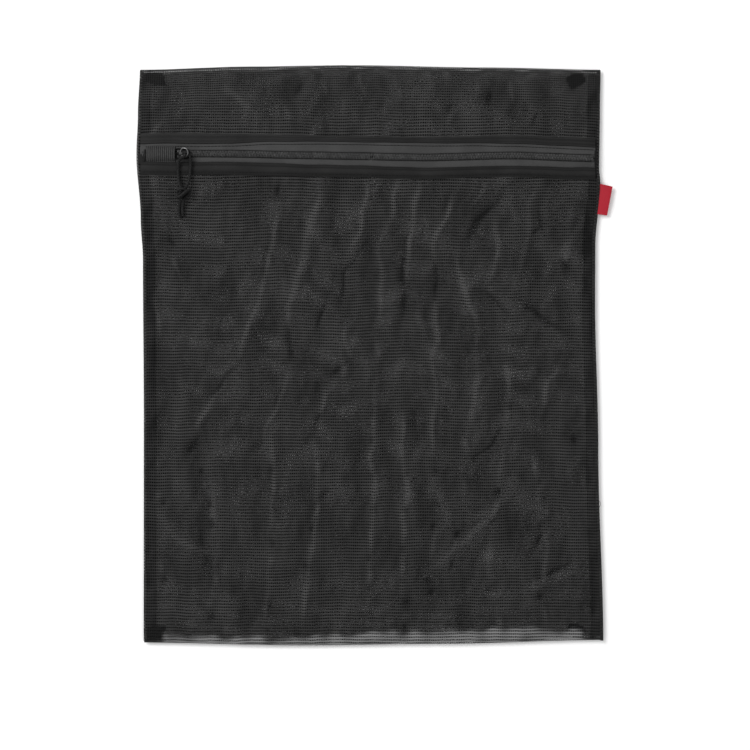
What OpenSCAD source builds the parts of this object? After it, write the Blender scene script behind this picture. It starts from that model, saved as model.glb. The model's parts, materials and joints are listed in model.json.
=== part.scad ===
// Zipped mesh laundry bag, lying flat and empty. Millimetres, +Z up, +Y towards the zip end.
// The origin is the middle of the back face, which the bag lies on.
// One strip of mesh makes the back, the two folds, the head and the front; a zip joins its two ends.
// Soft pieces are simple closed solids of the right size and place.

/* [Bag] */
// Width of the bag across the zip
bag_w = 400; // [360:1:440]
// Length of the bag from the bottom fold to the top fold
bag_l = 500; // [460:1:560]
// Thickness that stands for one layer of mesh
mesh_t = 0.8; // [0.6:0.1:1]
// Free height between the back and the front of the empty bag
loft = 6; // [5.8:0.1:8]

/* [Zip] */
// Distance from the middle of the bag to the zip, at the parked slider
zip_y = 175; // [150:1:190]
// Slope of the zip line across the bag, in degrees
zip_tilt = 0.64; // [0:0.02:0.8]
// Width of the closed chain
chain_w = 6; // [5.6:0.1:6.2]
// Height of the coil above the tape
coil_h = 2.2; // [2:0.1:2.4]
// Width of one tape, from the middle of the chain to its edge
tape_w = 16; // [14:0.5:17]
// Width of zip that shows on each side of the chain, up to the hem
tape_show = 6; // [5:0.5:7]
// Width of the hem that is turned over the tape
hem_w = 8; // [7:0.5:9]

/* [Slider] */
// Length of the slider body along the zip
slider_l = 12.4; // [11:0.1:12.6]
// Width of the slider body
slider_w = 10; // [9.2:0.1:10.2]
// Thickness of each slider plate
plate_t = 1.1; // [1:0.1:1.1]
// Radius of the pull ring at the middle of its wire
ring_r = 3.6; // [3.5:0.1:3.8]
// Diameter of the ring wire
wire_d = 1.2; // [1:0.1:1.3]
// Diameter of the pull cord
cord_d = 2.1; // [1.8:0.1:2.1]

/* [Trim] */
// Length of the elastic that covers the parked slider's end
garage_l = 25.2; // [22:0.1:25.4]
// Width of the elastic across the zip
garage_w = 14; // [13:0.5:15]
// Width of the binding tape round the side seams
binding_w = 9.6; // [8:0.2:11]
// Length of the side label along the seam
label_l = 26; // [20:1:30]
// Width of the side label that stands out of the seam
label_w = 11; // [9:0.5:12]

/* [Hidden] */

$fn = 48;
gap = 0.3;                              // clearance between pieces on different bodies
front_z = mesh_t + loft;                // underside of the front layer
front_top = front_z + mesh_t;           // top of the front layer
edge_r = front_top / 2;                 // outer radius of the folds and side edges
inner_w = bag_w - 2 * edge_r;           // width between the side edges
inner_l = bag_l - 2 * edge_r;           // length between the folds
tape_t = 0.5;
hem_t = 1;                              // two layers of turned mesh
tape_z = front_top - tape_t;
chain_gap = 1;                          // from the middle of the chain to each coil's solid
hem_in = chain_w / 2 + tape_show;       // from the middle of the chain to the hem's edge
hem_out = hem_in + hem_w;
thread_d = 0.5;
coil_top = front_top + coil_h;

// Slider, measured from its own middle on the zip line
slider_x = -163.6;
under_z = tape_z - 0.4 - plate_t;       // bottom of the lower plate
over_z = coil_top + gap;                // bottom of the upper plate
plate_top = over_z + plate_t;
flange_t = slider_w / 2 - chain_w / 2 - gap;
flange_z = front_top + 0.5;
wedge_w = 1.3;
bridge_x = -1.9;                        // middle of the bridge, where the ring hangs
bridge_in = [4, 2];                     // opening under the bridge: length and height
bridge_t = 0.8;
bridge_w = 2.2;
bridge_foot = 1;                        // length of each foot, and the radius over it
ring_yaw = 20;                          // turn of the ring about the bridge, in plan
ring_lift = 22;                         // the cord under the ring's free side holds it up
ring_z = plate_top + gap + wire_d / 2;  // middle of the wire under the bridge

garage_t = 1.2;
garage_end = -7;                        // end of the elastic, before the slider's nose
garage_z = coil_top + gap;
binding_t = 2.4;
binding_z = edge_r - binding_t / 2;
corner_t = 0.9;
corner_z = front_z - gap - corner_t;
label_t = 0.8;
label_x = bag_w / 2 + 0.4;
label_y = 150;                          // upper end of the label on the seam
label_z = 2.8;
label_skew = 10;

// Pull cord, from the slider's middle: out of the knot, up the left strand, over the ring's wire,
// down through the ring, and out under the wire to the right strand. Heights are from the top of
// the front layer.
LOOP = [
  [-2, -28.6, 4.6], [-3.6, -25, 3.2], [-4.5, -19, 2.3], [-4.6, -13, 2.6], [-4.2, -8.5, 3.6],
  [-2.8, -5.2, 5.2], [-0.8, -3.4, 6.8], [1.6, -2.5, 7.4], [1.9, -1.2, 7.2], [2.3, -0.4, 6.1],
  [3.2, -0.4, 5.1], [4.8, -0.6, 4.9], [6.3, -2.4, 4.8], [7, -5.6, 4.2], [7, -10, 3.2],
  [6.7, -16, 2.7], [5.6, -22, 2.6], [3.6, -27.6, 4.4]
];
TAIL_LEFT = [[-2.4, -39.6, 3.6], [-3.4, -45, 1.8], [-3.6, -50, 1.6], [-3, -55.6, 1.6]];
TAIL_RIGHT = [[0.4, -40, 3.6], [-0.4, -45, 1.8], [-0.6, -50, 1.6], [0.2, -54.6, 1.6]];
KNOT_AT = [0.8, -33.8, 4.9];
KNOT_SIZE = [12.4, 15, 9];
CORD_SIDES = 8;
STEPS = 3;                              // rings of the swept tube between two route points

// Corner shapes of the binding tape's turned ends, from the bag's corner inwards
TAPE_END_FOLDED = [[4.2, 4.2], [18, 4.2], [22, 15], [11, 15], [8, 12], [4.2, 12]];
TAPE_END_SLANTED = [[15, 4.6], [24, 4.2], [31, 9], [25, 18], [13, 12]];

function smooth_point(p, i, t) =
  let (
    n = len(p),
    a = p[max(i - 1, 0)],
    b = p[i],
    c = p[min(i + 1, n - 1)],
    d = p[min(i + 2, n - 1)]
  )
  0.5 * (2 * b + (c - a) * t + (2 * a - 5 * b + 4 * c - d) * t * t
    + (3 * b - a - 3 * c + d) * t * t * t);

function smooth_route(p) = concat(
  [for (i = [0 : len(p) - 2]) for (k = [0 : STEPS - 1]) smooth_point(p, i, k / STEPS)],
  [p[len(p) - 1]]
);

function unit(v) = v / norm(v);

// A frame carried along the route: each ring's normal is the last one, squared to the new direction.
function route_normals(dirs, i = 0, n = undef) =
  let (
    from = is_undef(n) ? cross(dirs[0], [1, 0.2, 0.1]) : n,
    now = unit(from - (from * dirs[i]) * dirs[i])
  )
  i == len(dirs) - 1 ? [now] : concat([now], route_normals(dirs, i + 1, now));

module swept_tube(points, d, sides) {
  route = smooth_route(points);
  last = len(route) - 1;
  dirs = [for (i = [0 : last]) unit(route[min(i + 1, last)] - route[max(i - 1, 0)])];
  normals = route_normals(dirs);
  rings = [
    for (i = [0 : last])
      let (side = cross(dirs[i], normals[i]))
      for (k = [0 : sides - 1])
        route[i] + d / 2 * (normals[i] * cos(360 * k / sides) + side * sin(360 * k / sides))
  ];
  walls = [
    for (i = [0 : last - 1])
      for (k = [0 : sides - 1])
        let (
          a = i * sides + k,
          b = i * sides + (k + 1) % sides
        )
        [a, a + sides, b + sides, b]
  ];
  start_cap = [for (k = [0 : sides - 1]) k];
  end_cap = [for (k = [sides - 1 : -1 : 0]) last * sides + k];
  polyhedron(rings, concat([start_cap], walls, [end_cap]), convexity = 8);
}

module slab(low, high) {
  translate(low) cube(high - low);
}

module on_zip_line() {
  translate([slider_x, zip_y, 0]) rotate([0, 0, -zip_tilt]) children();
}

// From the slider's middle to x along the zip line, for a piece that ends at a side of the bag
function along_zip(x) = (x - slider_x) / cos(zip_tilt);

zip_from = along_zip(-inner_w / 2 + gap + 0.2);
zip_to = along_zip(inner_w / 2 - gap - 0.2);

module zip_strip(y_from, y_to, z_from, z_to, inset = 0) {
  on_zip_line()
    slab([zip_from + inset, y_from, z_from], [zip_to - inset, y_to, z_to]);
}

module half_pipe(length) {
  linear_extrude(height = length, center = true)
    difference() {
      circle(r = edge_r);
      circle(r = edge_r - mesh_t);
      translate([0, -edge_r]) square([edge_r + 1, 2 * edge_r]);
    }
}

module side_edge(side) {
  translate([side * inner_w / 2, 0, edge_r])
    mirror([side > 0 ? 1 : 0, 0, 0])
      rotate([90, 0, 0]) half_pipe(inner_l);
}

module end_fold(side) {
  translate([0, side * inner_l / 2, edge_r])
    rotate([0, 0, side > 0 ? -90 : 90])
      rotate([90, 0, 0]) half_pipe(bag_w);
}

module rounded_rect(l, w, r) {
  square([l - 2 * r, w], center = true);
  square([l, w - 2 * r], center = true);
  for (x = [-1, 1])
    for (y = [-1, 1])
      translate([x * (l / 2 - r), y * (w / 2 - r)]) circle(r = r);
}

module back_panel() {
  color("dimgray")
    slab([-inner_w / 2, -inner_l / 2, 0], [inner_w / 2, inner_l / 2, mesh_t]);
}

module head_panel() {
  color("dimgray")
    difference() {
      slab([-inner_w / 2, zip_y - 20, front_z], [inner_w / 2, inner_l / 2, front_top]);
      on_zip_line()
        slab([-bag_w, -60, front_z - 1], [bag_w, tape_w + gap, front_top + 1]);
    }
}

module front_panel() {
  color("dimgray")
    difference() {
      slab(
        [-inner_w / 2 + gap, -inner_l / 2 + gap, front_z],
        [inner_w / 2 - gap, zip_y, front_top]
      );
      on_zip_line()
        slab([-bag_w, -tape_w - gap, front_z - 1], [bag_w, 60, front_top + 1]);
    }
}

module top_fold() {
  color("dimgray") end_fold(1);
}

module bottom_fold() {
  color("dimgray") end_fold(-1);
}

module left_edge() {
  color("dimgray") side_edge(-1);
}

module right_edge() {
  color("dimgray") side_edge(1);
}

module upper_hem() {
  color("#3a3a3c") zip_strip(hem_in, hem_out, front_top, front_top + hem_t);
}

module lower_hem() {
  color("#3a3a3c") zip_strip(-hem_out, -hem_in, front_top, front_top + hem_t);
}

module upper_tape() {
  color("#2c2c2e") zip_strip(chain_gap, tape_w, tape_z, front_top);
}

module lower_tape() {
  color("#2c2c2e") zip_strip(-tape_w, -chain_gap, tape_z, front_top);
}

// One half of the chain: a flat bar with round long edges, the outer shape of the wound coil
module coil_half(side) {
  width = chain_w / 2 - chain_gap;
  on_zip_line()
    translate([zip_from + 1, side * (chain_gap + width / 2), front_top + coil_h / 2])
      rotate([90, 0, 90])
        linear_extrude(height = zip_to - zip_from - 2)
          rounded_rect(width, coil_h, 0.8);
}

module upper_coil() {
  color("#242426") coil_half(1);
}

module lower_coil() {
  color("#242426") coil_half(-1);
}

module coil_thread(side) {
  y = side * (chain_w / 2 + thread_d / 2);
  zip_strip(y - thread_d / 2, y + thread_d / 2, front_top, front_top + 0.3, 1);
}

module upper_coil_thread() {
  color("#161617") coil_thread(1);
}

module lower_coil_thread() {
  color("#161617") coil_thread(-1);
}

module hem_thread(side) {
  y = side * (hem_out - 1);
  z = front_top + hem_t;
  zip_strip(y - thread_d / 2, y + thread_d / 2, z, z + thread_d / 2, 1);
}

module upper_hem_thread() {
  color("#161617") hem_thread(1);
}

module lower_hem_thread() {
  color("#161617") hem_thread(-1);
}

// The binding tape lies in the side seam, folded round the raw edges of the mesh
module binding(side) {
  outer = bag_w / 2 - mesh_t - 0.4;
  translate([side * (outer - binding_w / 2), 0, binding_z])
    mirror([side > 0 ? 0 : 1, 0, 0])
      rotate([90, 0, 0])
        translate([0, binding_t / 2, 0])
          linear_extrude(height = inner_l - 2, center = true)
            difference() {
              rounded_rect(binding_w, binding_t, 1);
              translate([-binding_w / 2 + 1.4, -0.4]) square([binding_w, 0.8]);
            }
}

module left_binding() {
  color("#1b1b1c") binding(-1);
}

module right_binding() {
  color("#1b1b1c") binding(1);
}

// Seam sewing: it holds the two raw edges of mesh inside the binding
module seam_thread(side) {
  outer = bag_w / 2 - mesh_t - 0.4;
  slab_x = side * (outer - 2);
  slab(
    [slab_x - thread_d / 2, -inner_l / 2 + 1, edge_r - 0.4],
    [slab_x + thread_d / 2, inner_l / 2 - 1, edge_r + 0.4]
  );
}

module left_seam_thread() {
  color("#161617") seam_thread(-1);
}

module right_seam_thread() {
  color("#161617") seam_thread(1);
}

module tape_end(outline, right, top) {
  translate([(right ? 1 : -1) * bag_w / 2, (top ? 1 : -1) * bag_l / 2, corner_z])
    mirror([right ? 1 : 0, 0, 0])
      mirror([0, top ? 1 : 0, 0])
        linear_extrude(height = corner_t) polygon(outline);
}

module top_left_tape_end() {
  color("#1b1b1c") tape_end(TAPE_END_FOLDED, false, true);
}

module top_right_tape_end() {
  color("#1b1b1c") tape_end(TAPE_END_SLANTED, true, true);
}

module bottom_left_tape_end() {
  color("#1b1b1c") tape_end(TAPE_END_FOLDED, false, false);
}

module bottom_right_tape_end() {
  color("#1b1b1c") tape_end(TAPE_END_SLANTED, true, false);
}

module at_slider() {
  translate([slider_x, zip_y, 0]) children();
}

module slider_body() {
  color("#151516")
    at_slider() {
      translate([0, 0, under_z])
        linear_extrude(height = plate_t) rounded_rect(slider_l - 1, slider_w - 1, 2);
      translate([0, 0, over_z])
        linear_extrude(height = plate_t) rounded_rect(slider_l, slider_w, 2.4);
      for (side = [-1, 1])
        slab(
          [-slider_l / 2 + 2.4, side * slider_w / 2 - (side > 0 ? flange_t : 0), flange_z],
          [slider_l / 2 - 2.4, side * slider_w / 2 + (side > 0 ? 0 : flange_t), over_z]
        );
      slab(
        [-slider_l / 2 + 0.6, -wedge_w / 2, under_z + plate_t],
        [-slider_l / 2 + 3, wedge_w / 2, over_z]
      );
      slider_bridge();
    }
}

// An arch along the slider, with round shoulders over its two feet
module slider_bridge() {
  length = bridge_in[0] + 2 * bridge_foot;
  height = bridge_in[1] + bridge_t;
  translate([bridge_x, 0, plate_top])
    rotate([90, 0, 0])
      linear_extrude(height = bridge_w, center = true)
        difference() {
          union() {
            translate([-length / 2, 0]) square([length, height - bridge_foot]);
            translate([-bridge_in[0] / 2, 0]) square([bridge_in[0], height]);
            for (side = [-1, 1])
              translate([side * bridge_in[0] / 2, height - bridge_foot]) circle(r = bridge_foot);
          }
          translate([-bridge_in[0] / 2, 0]) square(bridge_in);
        }
}

module pull_ring() {
  color("silver")
    at_slider()
      translate([bridge_x, 0, ring_z])
        rotate([0, 0, ring_yaw])
          rotate([0, -ring_lift, 0])
            translate([ring_r, 0, 0])
              rotate_extrude() translate([ring_r, 0]) circle(d = wire_d);
}

module at_cord() {
  translate([slider_x, zip_y, front_top]) children();
}

module pull_cord() {
  color("#111112") at_cord() swept_tube(LOOP, cord_d, CORD_SIDES);
}

module pull_knot() {
  color("#111112")
    at_cord()
      translate(KNOT_AT) resize(KNOT_SIZE) sphere(d = 10, $fn = 24);
}

module pull_tail_left() {
  color("#111112") at_cord() swept_tube(TAIL_LEFT, cord_d, CORD_SIDES);
}

module pull_tail_right() {
  color("#111112") at_cord() swept_tube(TAIL_RIGHT, cord_d, CORD_SIDES);
}

// A low tunnel of elastic over the end of the chain, open towards the slider
module elastic_garage() {
  leg = 1.4;
  color("#333335")
    on_zip_line()
      difference() {
        slab(
          [garage_end - garage_l, -garage_w / 2, front_top],
          [garage_end, garage_w / 2, garage_z + garage_t]
        );
        slab(
          [garage_end - garage_l - 1, -garage_w / 2 + leg, front_top - 1],
          [garage_end + 1, garage_w / 2 - leg, garage_z]
        );
      }
}

module garage_thread() {
  z = garage_z + garage_t;
  color("#161617")
    on_zip_line()
      slab(
        [garage_end - garage_l + 1, -garage_w / 2 + 1, z],
        [garage_end - garage_l + 1 + thread_d, garage_w / 2 - 1, z + thread_d / 2]
      );
}

// The tape's end that shows above the left side edge
module zip_end_tab() {
  color("#4a4a4c")
    slab(
      [-bag_w / 2 + 1.4, zip_y - 1, front_top],
      [-inner_w / 2 + 0.1, zip_y + 7, front_top + 0.6]
    );
}

// Close sewing across the far end of the zip
module zip_end_tack() {
  color("#161617")
    on_zip_line()
      slab(
        [zip_to - 0.9, chain_gap, front_top],
        [zip_to, hem_in - 0.5, front_top + 1]
      );
}

module side_label() {
  slope = tan(label_skew);
  color("#b01c2e")
    translate([label_x, label_y, label_z])
      linear_extrude(height = label_t)
        polygon([
          [0, 0],
          [label_w, -label_w * slope],
          [label_w - label_l * slope, -label_l],
          [0, -label_l + 2]
        ]);
}

back_panel();
head_panel();
front_panel();
top_fold();
bottom_fold();
left_edge();
right_edge();
upper_hem();
lower_hem();
upper_tape();
lower_tape();
upper_coil();
lower_coil();
upper_coil_thread();
lower_coil_thread();
upper_hem_thread();
lower_hem_thread();
left_binding();
right_binding();
left_seam_thread();
right_seam_thread();
top_left_tape_end();
top_right_tape_end();
bottom_left_tape_end();
bottom_right_tape_end();
slider_body();
pull_ring();
pull_cord();
pull_knot();
pull_tail_left();
pull_tail_right();
elastic_garage();
garage_thread();
zip_end_tab();
zip_end_tack();
side_label();
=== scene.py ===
"""Looks of a zipped mesh laundry bag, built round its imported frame. Metres, +Z up, +Y to the zip."""
import json
import logging
import math
from dataclasses import dataclass, field
from enum import Enum
from typing import Any, Callable, Iterable, Optional, Sequence

import bpy
import numpy as np
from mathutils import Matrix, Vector
from mathutils.bvhtree import BVHTree


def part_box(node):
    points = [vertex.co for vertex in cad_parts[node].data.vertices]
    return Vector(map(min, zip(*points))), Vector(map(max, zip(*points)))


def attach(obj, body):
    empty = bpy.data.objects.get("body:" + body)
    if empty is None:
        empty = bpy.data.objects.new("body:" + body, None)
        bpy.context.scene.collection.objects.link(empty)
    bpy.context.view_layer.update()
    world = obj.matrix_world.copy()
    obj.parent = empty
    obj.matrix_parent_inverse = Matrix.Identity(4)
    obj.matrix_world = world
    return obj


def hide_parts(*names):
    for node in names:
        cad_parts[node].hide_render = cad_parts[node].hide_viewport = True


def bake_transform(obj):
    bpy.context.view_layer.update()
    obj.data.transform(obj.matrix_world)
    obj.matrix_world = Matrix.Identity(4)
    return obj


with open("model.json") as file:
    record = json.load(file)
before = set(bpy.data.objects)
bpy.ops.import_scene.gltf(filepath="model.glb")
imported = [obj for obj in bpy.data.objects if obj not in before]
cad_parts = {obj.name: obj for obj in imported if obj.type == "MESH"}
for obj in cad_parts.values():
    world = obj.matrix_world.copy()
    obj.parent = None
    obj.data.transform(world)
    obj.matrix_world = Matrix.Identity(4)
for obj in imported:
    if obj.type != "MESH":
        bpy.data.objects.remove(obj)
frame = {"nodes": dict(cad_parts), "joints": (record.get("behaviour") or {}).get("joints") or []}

logging.basicConfig(level=logging.INFO, format="%(levelname)s %(message)s")
LOG = logging.getLogger("laundry_bag")

MM = 0.001
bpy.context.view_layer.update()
SEED = 11

Array = np.ndarray
Route = Sequence[tuple[float, float]]

# Creases of the soft front and head, each a line of points in millimetres on the bag
RIDGES = (
    ((-80,132),(-83,113),(-86,95)), ((-45,153),(-47,132),(-53,113),(-61,81),(-69,52),(-73,31)),
    ((-4,155),(-5,132),(-10,108),(-24,84)), ((24,155),(20,132),(16,115)),
    ((43,155),(40,137),(36,113),(32,84)), ((72,140),(62,113),(56,96)), ((111,129),(108,108),(110,84)),
    ((76,95),(76,79),(80,55),(90,33)), ((102,153),(86,129)), ((175,99),(160,85)),
    ((-11,249),(-9,238),(-5,224)), ((20,244),(24,224)), ((49,248),(50,232)), ((-39,238),(-38,226)),
    ((66,246),(67,236)), ((-97,56),(-103,31),(-111,9),(-117,-7)), ((-187,55),(-185,15)),
    ((56,41),(58,9)), ((8,60),(7,28)), ((-25,25),(-18,-5)), ((4,17),(9,-5)), ((-194,191),(-178,204)),
    ((142,153),(136,108),(132,76)), ((107,60),(102,55)), ((-174,87),(-165,65)), ((40,44),(46,17)),
    ((91,241),(94,228)), ((123,241),(122,217)), ((-130,233),(-117,225),(-103,212)),
    ((-77,217),(-71,204)), ((72,217),(67,196)), ((-134,-40),(-147,-55),(-158,-68)),
    ((-79,-44),(-90,-60)), ((-37,-29),(-43,-46)), ((-51,-71),(-44,-110)), ((-47,-131),(-53,-146)),
    ((-53,-166),(-55,-172)), ((3,-55),(3,-62)), ((-1,-84),(-1,-92)), ((2,-115),(2,-124)),
    ((-1,-152),(-1,-168)), ((-1,-187),(-1,-195)), ((0,-210),(0,-216)), ((27,-46),(28,-86)),
    ((32,-112),(31,-123)), ((30,-150),(29,-160)), ((27,-182),(27,-190)), ((28,-222),(28,-231)),
    ((54,-48),(53,-86)), ((56,-152),(51,-179)), ((92,-32),(90,-43)), ((82,-71),(82,-80)),
    ((82,-110),(82,-120)), ((119,-122),(102,-136),(79,-145)), ((76,-160),(72,-170)),
    ((120,-11),(121,-35)), ((167,-11),(154,-21),(151,-38),(148,-52)), ((151,-131),(152,-138)),
    ((146,-199),(143,-206)), ((181,-86),(179,-92)), ((-185,-118),(-185,-124)),
    ((-185,-139),(-170,-160),(-154,-168),(-130,-172)), ((-182,-182),(-182,-190)),
    ((-147,-110),(-145,-116)), ((-139,-136),(-139,-143)), ((-135,-190),(-135,-199)),
    ((-139,-212),(-140,-219)), ((-85,-112),(-84,-119)), ((-82,-144),(-81,-151)),
    ((-87,-176),(-88,-183)), ((-91,-203),(-93,-232)), ((-57,-198),(-58,-230)), ((112,-227),(111,-243)),
    ((150,-219),(151,-235)), ((103,-160),(102,-192)), ((114,-83),(112,-112)), ((-118,-19),(-111,-27)),
    ((144,-96),(141,-102)),
)
VALLEYS = (
    ((-80,151),(-81,137)), ((-89,100),(-94,71),(-99,57)), ((-4,100),(-24,71),(-26,44)),
    ((70,143),(60,124)), ((39,120),(30,100),(28,71),(27,44),(24,17)), ((51,92),(56,65),(56,47)),
    ((124,152),(99,124),(78,96)), ((147,135),(146,113),(132,103)), ((178,124),(174,97)),
    ((164,87),(172,72)), ((100,56),(119,37)), ((128,48),(150,31),(174,16)), ((-74,23),(-70,-4)),
    ((-37,55),(-50,17)), ((70,222),(68,209)), ((104,230),(103,217)), ((-178,103),(-170,92)),
    ((-61,241),(-66,228)), ((142,212),(139,198)), ((-111,2),(-127,-19),(-143,-39)),
    ((-155,-72),(-161,-87)), ((-78,-25),(-83,-46)), ((-91,-66),(-102,-84)), ((-22,-6),(-37,-19)),
    ((-45,-50),(-50,-62)), ((-48,-86),(-47,-92)), ((-38,-116),(-47,-128)), ((-50,-148),(-54,-155)),
    ((-55,-179),(-56,-186)), ((-1,-72),(-1,-79)), ((0,-102),(1,-108)), ((2,-132),(2,-139)),
    ((-2,-174),(-2,-180)), ((-1,-199),(-1,-206)), ((0,-222),(0,-227)), ((30,-100),(30,-106)),
    ((31,-131),(31,-138)), ((28,-166),(27,-172)), ((27,-194),(28,-198)), ((28,-212),(28,-216)),
    ((28,-235),(29,-239)), ((56,-99),(57,-106)), ((56,-126),(57,-134)), ((52,-144),(52,-151)),
    ((48,-191),(50,-198)), ((52,-204),(52,-210)), ((120,-55),(102,-80),(82,-98)),
    ((75,-152),(74,-159)), ((72,-176),(67,-187)), ((120,-43),(120,-48)), ((112,-115),(108,-122)),
    ((107,-139),(102,-146)), ((146,-108),(143,-114)), ((148,-123),(150,-127)), ((150,-143),(147,-151)),
    ((148,-208),(149,-214)), ((176,-67),(178,-79)), ((-180,-126),(-182,-132)),
    ((-182,-192),(-181,-198)), ((-147,-99),(-148,-105)), ((-141,-126),(-140,-132)),
    ((-138,-146),(-137,-152)), ((-136,-202),(-137,-207)), ((-139,-223),(-140,-230)),
    ((-87,-98),(-87,-103)), ((-83,-132),(-84,-138)), ((-86,-159),(-85,-166)), ((-90,-214),(-90,-220)),
    ((-90,-238),(-90,-243)), ((104,-203),(99,-208)), ((150,-152),(139,-171)), ((174,-182),(144,-192)),
)

# Long folds that join the creases, from the zip downwards
SPINES = (
    ((-47,146),(-48,123),(-52,99),(-63,66),(-72,36),(-72,13)), ((-3,153),(-5,126),(-10,106),(-18,89)),
    ((22,153),(20,126),(7,99),(8,66),(10,33)), ((45,151),(36,123),(33,96),(32,53)),
    ((68,151),(65,119),(56,103),(51,73)), ((111,123),(110,93),(103,66),(98,53)),
    ((76,86),(83,53),(91,33),(93,6),(88,-21)),
    ((-83,123),(-87,93),(-95,59),(-103,33),(-113,9),(-130,-27),(-147,-54),(-160,-77)),
    ((-72,-11),(-80,-41),(-92,-64),(-97,-81)), ((-28,-21),(-40,-37),(-47,-54)),
    ((7,9),(6,-11),(3,-34),(2,-61),(0,-87),(3,-111),(0,-154),(-2,-194),(-2,-217)),
    ((30,-34),(28,-67),(28,-101),(32,-121),(28,-150),(27,-200),(27,-227)),
    ((56,59),(58,26),(55,-1),(56,-34),(53,-67),(53,-101)), ((91,-11),(90,-41),(83,-67),(83,-94)),
    ((118,-4),(120,-34),(116,-67)), ((166,-11),(153,-21),(150,-47)), ((178,119),(173,89),(163,83)),
    ((-50,-67),(-47,-104),(-47,-134),(-53,-177),(-57,-217),(-60,-247)),
    ((113,-124),(103,-140),(80,-164),(53,-184),(36,-204)), ((-87,-51),(-85,-117),(-90,-167),(-90,-217)),
    ((-138,-101),(-137,-150),(-138,-194),(-138,-217)), ((140,-81),(143,-117),(153,-167),(148,-217)),
    ((-23,26),(-28,-1),(-23,-24)),
)


class Bodies(str, Enum):
    """The moving bodies that pieces ride on."""

    BAG = "bag"
    FRONT = "front"
    SLIDER = "slider"
    RING = "ring"
    CORD = "cord"
    LABEL = "label"


class Side(Enum):
    """A side of the bag, or of the zip line, as the sign of its direction."""

    LOW = -1
    HIGH = 1


# ---------------------------------------------------------------- numbers along the cloth


def smooth_step(t: Array) -> Array:
    """Ease from 0 to 1 with flat ends.

    Args:
        t: Share of the way, clipped to 0 and 1.

    Returns:
        The eased share.
    """
    t = np.clip(t, 0.0, 1.0)
    return t * t * (3 - 2 * t)


def eased(x: Array, table: Route) -> Array:
    """Read a table of points with smooth steps between them.

    Args:
        x: Where to read it.
        table: Points of (x, value), in order of x.

    Returns:
        The values at x.
    """
    x = np.asarray(x, float)
    keys = np.array([p[0] for p in table])
    values = np.array([p[1] for p in table])
    i = np.clip(np.searchsorted(keys, x) - 1, 0, len(keys) - 2)
    share = smooth_step((x - keys[i]) / (keys[i + 1] - keys[i]))
    return values[i] + (values[i + 1] - values[i]) * share


def waves(x: Array, y: Array, size: float, seed: int, count: int = 7) -> Array:
    """Sum of a few sine waves in seeded directions, as a slow even unevenness.

    Args:
        x: First coordinate.
        y: Second coordinate.
        size: Mean wave length, in the same unit.
        seed: Seed of the directions and phases.
        count: Number of waves.

    Returns:
        Values from about -1 to 1.
    """
    draw = np.random.default_rng(seed)
    total = np.zeros(np.broadcast(x, y).shape)
    for _ in range(count):
        angle, phase = draw.uniform(0, math.tau, 2)
        k = math.tau / (size * draw.uniform(0.65, 1.5))
        total = total + np.sin(k * (x * math.cos(angle) + y * math.sin(angle)) + phase)
    return total / math.sqrt(count)


def line_distance(x: Array, y: Array, line: Route) -> tuple[Array, Array]:
    """Distance from points to a line of points, and how far along it they lie.

    Args:
        x: First coordinate of each point.
        y: Second coordinate of each point.
        line: The line's points.

    Returns:
        The distances, and the place along the line from 0 to 1.
    """
    best = np.full(x.shape, 1e9)
    along = np.zeros(x.shape)
    steps = len(line) - 1
    for i, ((ax, ay), (bx, by)) in enumerate(zip(line, line[1:])):
        dx, dy = bx - ax, by - ay
        t = np.clip(((x - ax) * dx + (y - ay) * dy) / max(dx * dx + dy * dy, 1e-9), 0, 1)
        d = np.hypot(x - ax - t * dx, y - ay - t * dy)
        near = d < best
        best = np.where(near, d, best)
        along = np.where(near, (i + t) / steps, along)
    return best, along


def smooth_route(points: Array, steps: int) -> Array:
    """Pass a smooth curve through points.

    Args:
        points: The points, one row each.
        steps: Number of new points from one to the next.

    Returns:
        The points of the curve.
    """
    padded = np.vstack([points[:1], points, points[-1:]])
    out = []
    for i in range(len(points) - 1):
        a, b, c, d = padded[i : i + 4]
        for t in np.arange(steps) / steps:
            out.append(
                0.5
                * (
                    2 * b
                    + (c - a) * t
                    + (2 * a - 5 * b + 4 * c - d) * t**2
                    + (3 * b - a - 3 * c + d) * t**3
                )
            )
    out.append(points[-1])
    return np.array(out)


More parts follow.
